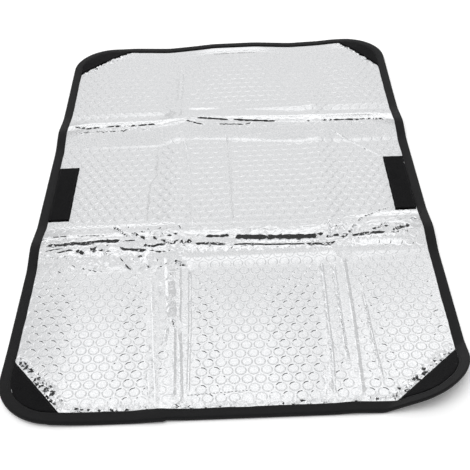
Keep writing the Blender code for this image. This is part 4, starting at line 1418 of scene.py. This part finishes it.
@dataclass
class EdgeTape:
    """Woven tape folded over the edge, lapped on itself once."""

    plan: SheetPlan
    drape: Drape
    lap_end: float = -57.0 * MM
    lap_length: float = 22.0 * MM
    lap_rise: float = 0.5 * MM
    proud: float = 1.4 * MM
    proud_run: tuple[float, float] = (-175.0 * MM, -130.0 * MM)
    waver: float = 0.35 * MM
    thickness: float = 0.8 * MM
    bend: float = 1.6 * MM
    leg_start: float = 3.0 * MM
    leg_middle: float = 6.0 * MM
    inner_end: float = 5.0 * MM
    seed: int = 3

    def section(self) -> np.ndarray:
        """Folded tape as (depth, height), from under the lower leg outwards."""
        under = TAPE_HIGH - self.thickness
        half = TAPE_HIGH / 2.0
        angles = np.radians(np.linspace(-90.0, -270.0, 9))
        fold = np.column_stack([self.bend + self.bend * np.cos(angles), half + half * np.sin(angles)])
        inner_fold = np.column_stack([
            1.7 * MM + 0.8 * MM * np.cos(angles[::-1]), half + (half - self.thickness) * np.sin(angles[::-1]),
        ])
        lower = np.array(((TAPE_WIDTH, 0.0), (self.leg_middle, 0.0), (self.leg_start, 0.0)))
        upper = np.array((
            (self.leg_start, TAPE_HIGH), (self.leg_middle, TAPE_HIGH), (TAPE_WIDTH - 0.7 * MM, TAPE_HIGH),
            (TAPE_WIDTH, TAPE_HIGH - 0.25 * MM), (TAPE_WIDTH, under),
        ))
        inside_top = np.array(((self.inner_end, under),))
        inside_low = np.array(((self.inner_end, self.thickness), (TAPE_WIDTH, self.thickness)))
        return np.concatenate([lower, fold, upper, inside_top, inner_fold, inside_low])

    def build(self) -> bpy.types.Object:
        """Build the tape as one closed loop."""
        outer, inward = self.plan.rim(3.2 * MM, 4.0)
        random = np.random.default_rng(self.seed)
        near = (np.abs(inward[:, 1] - 1.0) < 1e-6)
        lap = near & (outer[:, 0] > self.lap_end - self.lap_length) & (outer[:, 0] < self.lap_end)
        standing = near & (outer[:, 0] < self.lap_end)
        proud = np.where(standing, smooth_step(outer[:, 0], *self.proud_run) * self.proud, 0.0)
        wave = np.convolve(np.tile(random.normal(0.0, 1.0, len(outer)), 3), np.ones(5) / 5.0, "same")
        wave = wave[len(outer):2 * len(outer)] * self.waver
        section = self.section()
        share = section[:, 0] / TAPE_WIDTH
        rows = []
        for number in range(len(outer)):
            depth = section[:, 0] - proud[number] * (1.0 - share) + wave[number] * share
            upper = section[:, 1] > TAPE_HIGH / 2.0
            height = section[:, 1] + np.where(upper & lap[number], self.lap_rise, 0.0)
            place = outer[number] + inward[number] * depth[:, None]
            rows.append(self.drape.lay(place, height))
        points = np.concatenate(rows)
        size, count = len(section), len(outer)
        faces = []
        for i in range(count):
            j = (i + 1) % count
            for k in range(size):
                m = (k + 1) % size
                faces.append((i * size + k, i * size + m, j * size + m, j * size + k))
        finish = WovenFinish("grosgrain_tape", "#161617", 0.9, uses_uv=True)
        piece = make_piece("folded_edge_tape", points, faces, finish.make())
        mesh = piece.data
        mesh.shade_smooth()
        mesh.set_sharp_from_angle(angle=math.radians(50.0))
        self.unwrap(mesh, outer, section)
        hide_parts("edge_binding")
        return piece

    @staticmethod
    def unwrap(mesh: bpy.types.Mesh, outer: np.ndarray, section: np.ndarray) -> None:
        """Give the tape a UV map in metres along it and across it."""
        steps = np.linalg.norm(np.diff(np.concatenate([outer, outer[:1]]), axis=0), axis=1)
        along = np.concatenate([[0.0], np.cumsum(steps)])
        walls = np.linalg.norm(np.diff(np.concatenate([section, section[:1]]), axis=0), axis=1)
        across = np.concatenate([[0.0], np.cumsum(walls)])
        layer = mesh.uv_layers.new(name="UVMap")
        size, count = len(section), len(outer)
        uvs = []
        for i in range(count):
            for k in range(size):
                uvs += [(along[i], across[k]), (along[i], across[k + 1]),
                        (along[i + 1], across[k + 1]), (along[i + 1], across[k])]
        layer.data.foreach_set("uv", np.array(uvs).ravel())


@dataclass
class Patches:
    """Hook and loop patches on the silver face and on the cloth."""

    plan: SheetPlan
    drape: Drape
    finish: LoopFinish = field(default_factory=LoopFinish)
    spacing: float = 2.4 * MM
    fray: float = 0.22 * MM
    edge_round: float = 0.55 * MM
    edge_drop: float = 0.45 * MM
    nap: float = 0.12 * MM
    grid_step: float = 3.0 * MM
    back_gap: float = 0.3 * MM
    back_width: float = 20.0 * MM
    back_half_length: float = 26.0 * MM
    back_high: float = 0.8 * MM
    seed: int = 11

    def pad(self, name: str, outline: np.ndarray, low: float, high: float, node: str,
            material: bpy.types.Material) -> bpy.types.Object:
        """Build one patch from its plan outline, with soft rounded edges.

        Args:
            name: The piece's name.
            outline: Plan corners, anticlockwise, close enough together.
            low: Height of its underside.
            high: Height of its upper side.
            node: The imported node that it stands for.
            material: Its finish.

        Returns:
            The piece.
        """
        random = np.random.default_rng(self.seed)
        inward = left_of(np.roll(outline, -1, axis=0) - np.roll(outline, 1, axis=0))
        frayed = outline + inward * np.abs(random.normal(0.0, self.fray, len(outline)))[:, None]
        inner = frayed + inward * self.edge_round
        low_xy, high_xy = outline.min(axis=0), outline.max(axis=0)
        grid = grid_points(*(np.arange(start, end, self.grid_step) for start, end in zip(low_xy, high_xy)))
        plan, faces, origin = cut_plan(np.concatenate([inner, grid]), len(inner), ())
        top = self.drape.lay(plan, high - self.nap * random.random(len(plan)))
        rings = [self.drape.lay(frayed, lift) for lift in (high - self.edge_drop, low)]
        bottom = self.drape.lay(inner, low)
        every = [tuple(face) for face in faces]
        loops = [matching_loop(origin, len(inner), 0)]
        for ring in range(3):
            loops.append([len(top) + ring * len(inner) + i for i in range(len(inner))])
        for upper, lower in zip(loops, loops[1:]):
            every += wall(upper, lower)
        every.append(tuple(reversed(loops[-1])))
        piece = make_piece(name, np.concatenate([top, *rings, bottom]), every, material)
        piece.data.shade_smooth()
        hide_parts(node)
        return piece

    def dense(self, corners: np.ndarray) -> np.ndarray:
        """The closed outline through corners with points close together."""
        points = []
        for start, end in zip(corners, np.roll(corners, -1, axis=0)):
            count = max(1, round(np.linalg.norm(end - start) / self.spacing))
            points += [start + (end - start) * i / count for i in range(count)]
        return np.array(points)

    def corner_outline(self, patch: CornerPatch) -> np.ndarray:
        """Plan outline of a corner patch, anticlockwise."""
        on_short, on_long = patch.ends(self.plan)
        centre = self.plan.inner_corner() * (patch.across, patch.along)
        angles = np.radians(CORNER_STARTS[(patch.across, patch.along)] + np.linspace(0.0, 90.0, 19))
        radius = self.plan.corner_radius - PATCH_INSET
        arc = centre + rays(angles) * radius
        first, last = (on_long, on_short) if patch.across * patch.along > 0 else (on_short, on_long)
        return self.dense(np.concatenate([[first], arc, [last]]))

    def build(self) -> list[bpy.types.Object]:
        """Build all patches."""
        material = self.finish.make()
        made = []
        for patch in CORNER_PATCHES:
            outline = self.corner_outline(patch)
            made.append(self.pad(f"loop_corner_{patch.name}", outline, PATCH_LOW, PATCH_HIGH,
                                 f"corner_patch_{patch.name}", material))
        for side in SIDE_PATCHES:
            outline = self.dense(side.corners(self.plan))
            made.append(self.pad(f"loop_side_{side.name}", outline, PATCH_LOW, PATCH_HIGH,
                                 f"side_patch_{side.name}", material))
        outer = self.plan.half_length - PATCH_INSET - self.back_gap
        for end, sign, middle in BACK_PATCHES:
            low, high = sorted((sign * outer, sign * (outer - self.back_width)))
            left, right = middle - self.back_half_length, middle + self.back_half_length
            corners = np.array(((left, low), (right, low), (right, high), (left, high)))
            made.append(self.pad(f"hook_back_{end}", self.dense(corners), 0.0, self.back_high,
                                 f"back_patch_{end}", material))
        return made


@dataclass
class Stitching:
    """Polyester thread along the tape, round the patches and on the seams."""

    plan: SheetPlan
    drape: Drape
    pitch: float = 3.0 * MM
    length: float = 2.2 * MM
    thickness: float = 0.45 * MM
    twist_size: float = 1.6 * MM
    colour: str = "#121213"
    lit_colour: str = "#29292A"
    tape_row: float = 8.2 * MM
    corner_row: float = 1.6 * MM
    side_row: float = 1.8 * MM

    def finish(self) -> bpy.types.Material:
        """Build the thread's material: twisted matt polyester, with a painted highlight on the twist."""
        material, shader = start_material("twisted_thread", {"Roughness": 0.7, "Specular IOR Level": 0.3})
        tree = material.node_tree
        where = add_node(tree, "ShaderNodeTexCoord")
        twist = add_node(tree, "ShaderNodeTexWave",
                         {"bands_direction": "DIAGONAL", "Scale": 1.0 / self.twist_size},
                         {"Vector": where.outputs["Object"]})
        # Painted highlight: the twist's raised bands get the lighter lit colour
        tint = add_node(tree, "ShaderNodeMix",
                        {"data_type": "RGBA", 6: linear(self.colour), 7: linear(self.lit_colour)},
                        {0: twist.outputs["Fac"]})
        bump = add_node(tree, "ShaderNodeBump", {"Strength": 0.4, "Distance": 0.1 * MM},
                        {"Height": twist.outputs["Fac"]})
        tree.links.new(tint.outputs[2], shader.inputs["Base Color"])
        tree.links.new(bump.outputs["Normal"], shader.inputs["Normal"])
        return material

    def node_group(self, material: bpy.types.Material) -> bpy.types.NodeTree:
        """Make the node group that lays one stitch after another on lines."""
        group = bpy.data.node_groups.new("stitches_on_lines", "GeometryNodeTree")
        group.interface.new_socket("Geometry", in_out="INPUT", socket_type="NodeSocketGeometry")
        for name in ("Pitch", "Length", "Thickness"):
            group.interface.new_socket(name, in_out="INPUT", socket_type="NodeSocketFloat")
        group.interface.new_socket("Geometry", in_out="OUTPUT", socket_type="NodeSocketGeometry")
        given = add_node(group, "NodeGroupInput")
        lines = add_node(group, "GeometryNodeMeshToCurve", {}, {0: given.outputs["Geometry"]})
        stations = add_node(group, "GeometryNodeCurveToPoints", {"mode": "LENGTH"},
                            {"Curve": lines.outputs[0], "Length": given.outputs["Pitch"]})
        bead = add_node(group, "GeometryNodeMeshUVSphere", {"Segments": 6, "Rings": 5, "Radius": 0.5})
        size = add_node(group, "ShaderNodeCombineXYZ", {}, {
            0: given.outputs["Thickness"], 1: given.outputs["Thickness"], 2: given.outputs["Length"],
        })
        jitter = add_node(group, "FunctionNodeRandomValue",
                          {"data_type": "FLOAT", 2: 0.85, 3: 1.08, "Seed": 5})
        scale = add_node(group, "ShaderNodeVectorMath", {"operation": "SCALE"},
                         {0: size.outputs[0], "Scale": jitter.outputs[1]})
        placed = add_node(group, "GeometryNodeInstanceOnPoints", {}, {
            "Points": stations.outputs["Points"], "Instance": bead.outputs[0],
            "Rotation": stations.outputs["Rotation"], "Scale": scale.outputs[0],
        })
        real = add_node(group, "GeometryNodeRealizeInstances", {}, {0: placed.outputs[0]})
        coloured = add_node(group, "GeometryNodeSetMaterial", {"Material": material}, {0: real.outputs[0]})
        add_node(group, "NodeGroupOutput", {}, {0: coloured.outputs[0]})
        return group

    def stitch(self, name: str, lines: list[np.ndarray], group: bpy.types.NodeTree) -> bpy.types.Object:
        """Sew along lines of 3-D points.

        Args:
            name: The piece's name.
            lines: For each line, its points.
            group: The node group that lays the stitches.

        Returns:
            The piece.
        """
        starts = np.cumsum([0] + [len(line) for line in lines])
        edges = [(int(a) + i, int(a) + i + 1) for a, line in zip(starts, lines) for i in range(len(line) - 1)]
        guide = bpy.data.meshes.new(name + "_guide")
        guide.from_pydata(np.concatenate(lines).tolist(), edges, [])
        carrier = add_object(name + "_guide", guide)
        modifier = carrier.modifiers.new("stitches", "NODES")
        modifier.node_group = group
        values = {"Pitch": self.pitch, "Length": self.length, "Thickness": self.thickness}
        for item in group.interface.items_tree:
            if item.in_out == "INPUT" and item.name in values:
                modifier[item.identifier] = values[item.name]
        graph = bpy.context.evaluated_depsgraph_get()
        mesh = bpy.data.meshes.new_from_object(carrier.evaluated_get(graph))
        mesh.name = name
        bpy.data.objects.remove(carrier)
        bpy.data.meshes.remove(guide)
        mesh.shade_smooth()
        return show_piece(name, mesh)

    def build(self) -> tuple[list[bpy.types.Object], list[bpy.types.Object]]:
        """Sew everything.

        Returns:
            The stitches on the tape, and those on the film and the patches.
        """
        group = self.node_group(self.finish())
        outer, inward = self.plan.rim(3.0 * MM, 6.0)
        row = outer + inward * self.tape_row
        row = np.concatenate([row, row[:1]])
        on_tape = self.stitch("tape_stitches", [self.drape.lay(row, TAPE_HIGH + 0.05 * MM)], group)
        lines = []
        for patch in CORNER_PATCHES:
            start, end = patch.ends(self.plan)
            inside = np.array((patch.across, patch.along)) * self.corner_row
            lines.append(self.patch_line(start + inside, end + inside))
        for side in SIDE_PATCHES:
            corners = side.corners(self.plan)
            middle = corners.mean(axis=0)
            shrink = 1.0 - 2.0 * self.side_row / np.array((side.width, side.length))
            inner = middle + (corners - middle) * shrink
            for start, end in zip(inner, np.roll(inner, -1, axis=0)):
                lines.append(self.patch_line(start, end))
        on_patches = self.stitch("patch_stitches", lines, group)
        seams = []
        for path in SEAMS:
            start, end = self.drape.under_sight(path)
            seams.append(self.drape.lay(straight(start, end, 16), FILM_HIGH + 0.1 * MM))
        on_film = self.stitch("seam_stitches", seams, group)
        return [on_tape], [on_patches, on_film]

    def patch_line(self, start: np.ndarray, end: np.ndarray) -> np.ndarray:
        """A straight line of points over a patch."""
        return self.drape.lay(straight(start, end, 24), PATCH_HIGH)


@dataclass(frozen=True)
class SoftPanel:
    """A patch of the world with a level of its own, by angle and side angle."""

    level: float
    angles: tuple[float, float]
    sides: tuple[float, float]
    soft: tuple[float, float]

    @staticmethod
    def window(tree: bpy.types.NodeTree, value: bpy.types.NodeSocket, span: tuple[float, float],
               soft: float) -> bpy.types.NodeSocket:
        """A value that is 1 within a span and 0 outside it."""
        ends = []
        for place, (before, after) in zip(span, ((0.0, 1.0), (1.0, 0.0))):
            ends.append(add_node(tree, "ShaderNodeMapRange", {
                "interpolation_type": "SMOOTHSTEP", 1: place - soft, 2: place + soft, 3: before, 4: after,
            }, {0: value}))
        both = add_node(tree, "ShaderNodeMath", {"operation": "MULTIPLY"},
                        {0: ends[0].outputs[0], 1: ends[1].outputs[0]})
        return both.outputs[0]

    def over(self, tree: bpy.types.NodeTree, light: bpy.types.NodeSocket, angle: bpy.types.NodeSocket,
             side: bpy.types.NodeSocket) -> bpy.types.NodeSocket:
        """Lay the panel over the light so far."""
        cover = add_node(tree, "ShaderNodeMath", {"operation": "MULTIPLY"}, {
            0: self.window(tree, angle, self.angles, self.soft[0]),
            1: self.window(tree, side, self.sides, self.soft[1]),
        })
        mixed = add_node(tree, "ShaderNodeMix",
                         {"data_type": "RGBA", 7: (self.level, self.level, self.level, 1.0)},
                         {0: cover.outputs[0], 6: light})
        return mixed.outputs[2]


# Levels of light along the upright plane, by the angle from the far horizon in degrees. They and
# the panels were fitted so that the film mirrors what the photograph shows
OVERHEAD_LEVELS = (
    (0.0, 1.15), (18.0, 1.15), (21.5, 0.83), (70.0, 0.83), (86.0, 0.78), (91.0, 1.15), (105.0, 1.15),
    (109.0, 0.05), (158.0, 0.05), (163.0, 0.85), (180.0, 0.85),
)
# Panels beside that plane: level, angles, side angles and how soft the edges are, in degrees
SOFT_PANELS = (
    SoftPanel(0.66, (25.0, 60.0), (14.0, 27.0), (3.0, 3.0)),
    SoftPanel(1.15, (5.0, 80.0), (32.0, 95.0), (3.0, 3.0)),
    SoftPanel(1.1, (45.0, 60.0), (-9.0, 8.0), (5.5, 7.0)),
    SoftPanel(0.05, (-20.0, 9.0), (19.0, 52.0), (0.8, 2.0)),
    SoftPanel(0.05, (88.0, 147.0), (28.0, 75.0), (2.0, 2.0)),
    SoftPanel(0.85, (149.0, 180.0), (31.0, 56.0), (2.0, 3.0)),
    SoftPanel(0.85, (149.0, 180.0), (-56.0, -31.0), (2.0, 3.0)),
    SoftPanel(0.08, (3.0, 177.0), (57.0, 69.0), (1.5, 1.5)),
)


@dataclass(frozen=True)
class Studio:
    """White floor, a soft lamp and a world of broad soft panels."""

    floor_half: float = 150.0
    floor_gap: float = 0.2 * MM
    lamp_strength: float = 1.6
    floor_glow: float = 0.16

    def make_floor(self) -> None:
        """Make a wide white floor just under the shade."""
        mesh = bpy.data.meshes.new("studio_floor")
        h = self.floor_half
        z = -self.floor_gap
        mesh.from_pydata([(-h, -h, z), (h, -h, z), (h, h, z), (-h, h, z)], [], [(0, 1, 2, 3)])
        material, shader = start_material("matt_white_paint", {
            "Base Color": linear("#FAFAFA"), "Roughness": 0.9, "Specular IOR Level": 0.0,
            "Emission Color": (1.0, 1.0, 1.0, 1.0),
        })
        seen = add_node(material.node_tree, "ShaderNodeLightPath")
        glow = add_node(material.node_tree, "ShaderNodeMath", {"operation": "MULTIPLY", 1: self.floor_glow},
                        {0: seen.outputs["Is Camera Ray"]})
        material.node_tree.links.new(glow.outputs[0], shader.inputs["Emission Strength"])
        mesh.materials.append(material)
        floor = add_object("studio_floor", mesh)

    def make_lamp(self) -> None:
        """Make a broad soft lamp that fills the shadows from above."""
        data = bpy.data.lights.new("overhead_lamp", "SUN")
        data.energy = self.lamp_strength
        data.angle = math.radians(50.0)
        lamp = add_object("overhead_lamp", data)
        lamp.rotation_euler = (math.radians(12.0), math.radians(-14.0), 0.0)
        lamp.visible_glossy = False

    def make_world(self) -> None:
        """Make a world of soft panels by the direction that a mirror sees.

        The angle runs from 0 at the far horizon over 90 overhead to 180 at
        the horizon behind the camera. The side angle is measured away from
        the upright plane through the camera.
        """
        world = bpy.data.worlds.new("soft_panels")
        bpy.context.scene.world = world
        world.use_nodes = True
        tree = world.node_tree
        where = add_node(tree, "ShaderNodeTexCoord")
        parts = add_node(tree, "ShaderNodeSeparateXYZ", {}, {0: where.outputs["Generated"]})
        turn = add_node(tree, "ShaderNodeMath", {"operation": "ARCTAN2"},
                        {0: parts.outputs["Z"], 1: parts.outputs["Y"]})
        angle = add_node(tree, "ShaderNodeMath", {"operation": "DEGREES"}, {0: turn.outputs[0]})
        lateral = add_node(tree, "ShaderNodeMath", {"operation": "ARCSINE"}, {0: parts.outputs["X"]})
        signed = add_node(tree, "ShaderNodeMath", {"operation": "DEGREES"}, {0: lateral.outputs[0]})
        side = add_node(tree, "ShaderNodeMath", {"operation": "ABSOLUTE"}, {0: signed.outputs[0]})
        share = add_node(tree, "ShaderNodeMath", {"operation": "DIVIDE", 1: 180.0}, {0: angle.outputs[0]})
        ramp = add_node(tree, "ShaderNodeValToRGB", {}, {0: share.outputs[0]})
        elements = ramp.color_ramp.elements
        while len(elements) < len(OVERHEAD_LEVELS):
            elements.new(0.5)
        for element, (degrees, level) in zip(elements, OVERHEAD_LEVELS):
            element.position = degrees / 180.0
            element.color = (level, level, level, 1.0)
        light = ramp.outputs["Color"]
        for panel in SOFT_PANELS:
            light = panel.over(tree, light, angle.outputs[0], side.outputs[0])
        tree.links.new(light, tree.nodes["Background"].inputs["Color"])

    def make(self) -> None:
        """Make the floor, the lamp and the world."""
        self.make_floor()
        self.make_lamp()
        self.make_world()
        bpy.context.scene.view_settings.view_transform = "Standard"


def main() -> None:
    """Build the studio and the shade from the cloth up."""
    logging.basicConfig(level=logging.INFO, format="%(message)s")
    plan = SheetPlan.of_frame()
    eye = Eye()
    eye.make()
    Studio().make()
    drape = Drape(plan, eye)
    cloth = BackingCloth(plan, drape).build()
    foil = FoilSheet(plan, drape).build()
    tape = EdgeTape(plan, drape).build()
    patches = Patches(plan, drape).build()
    on_tape, on_film = Stitching(plan, drape).build()


if __name__ == "__main__":
    main()
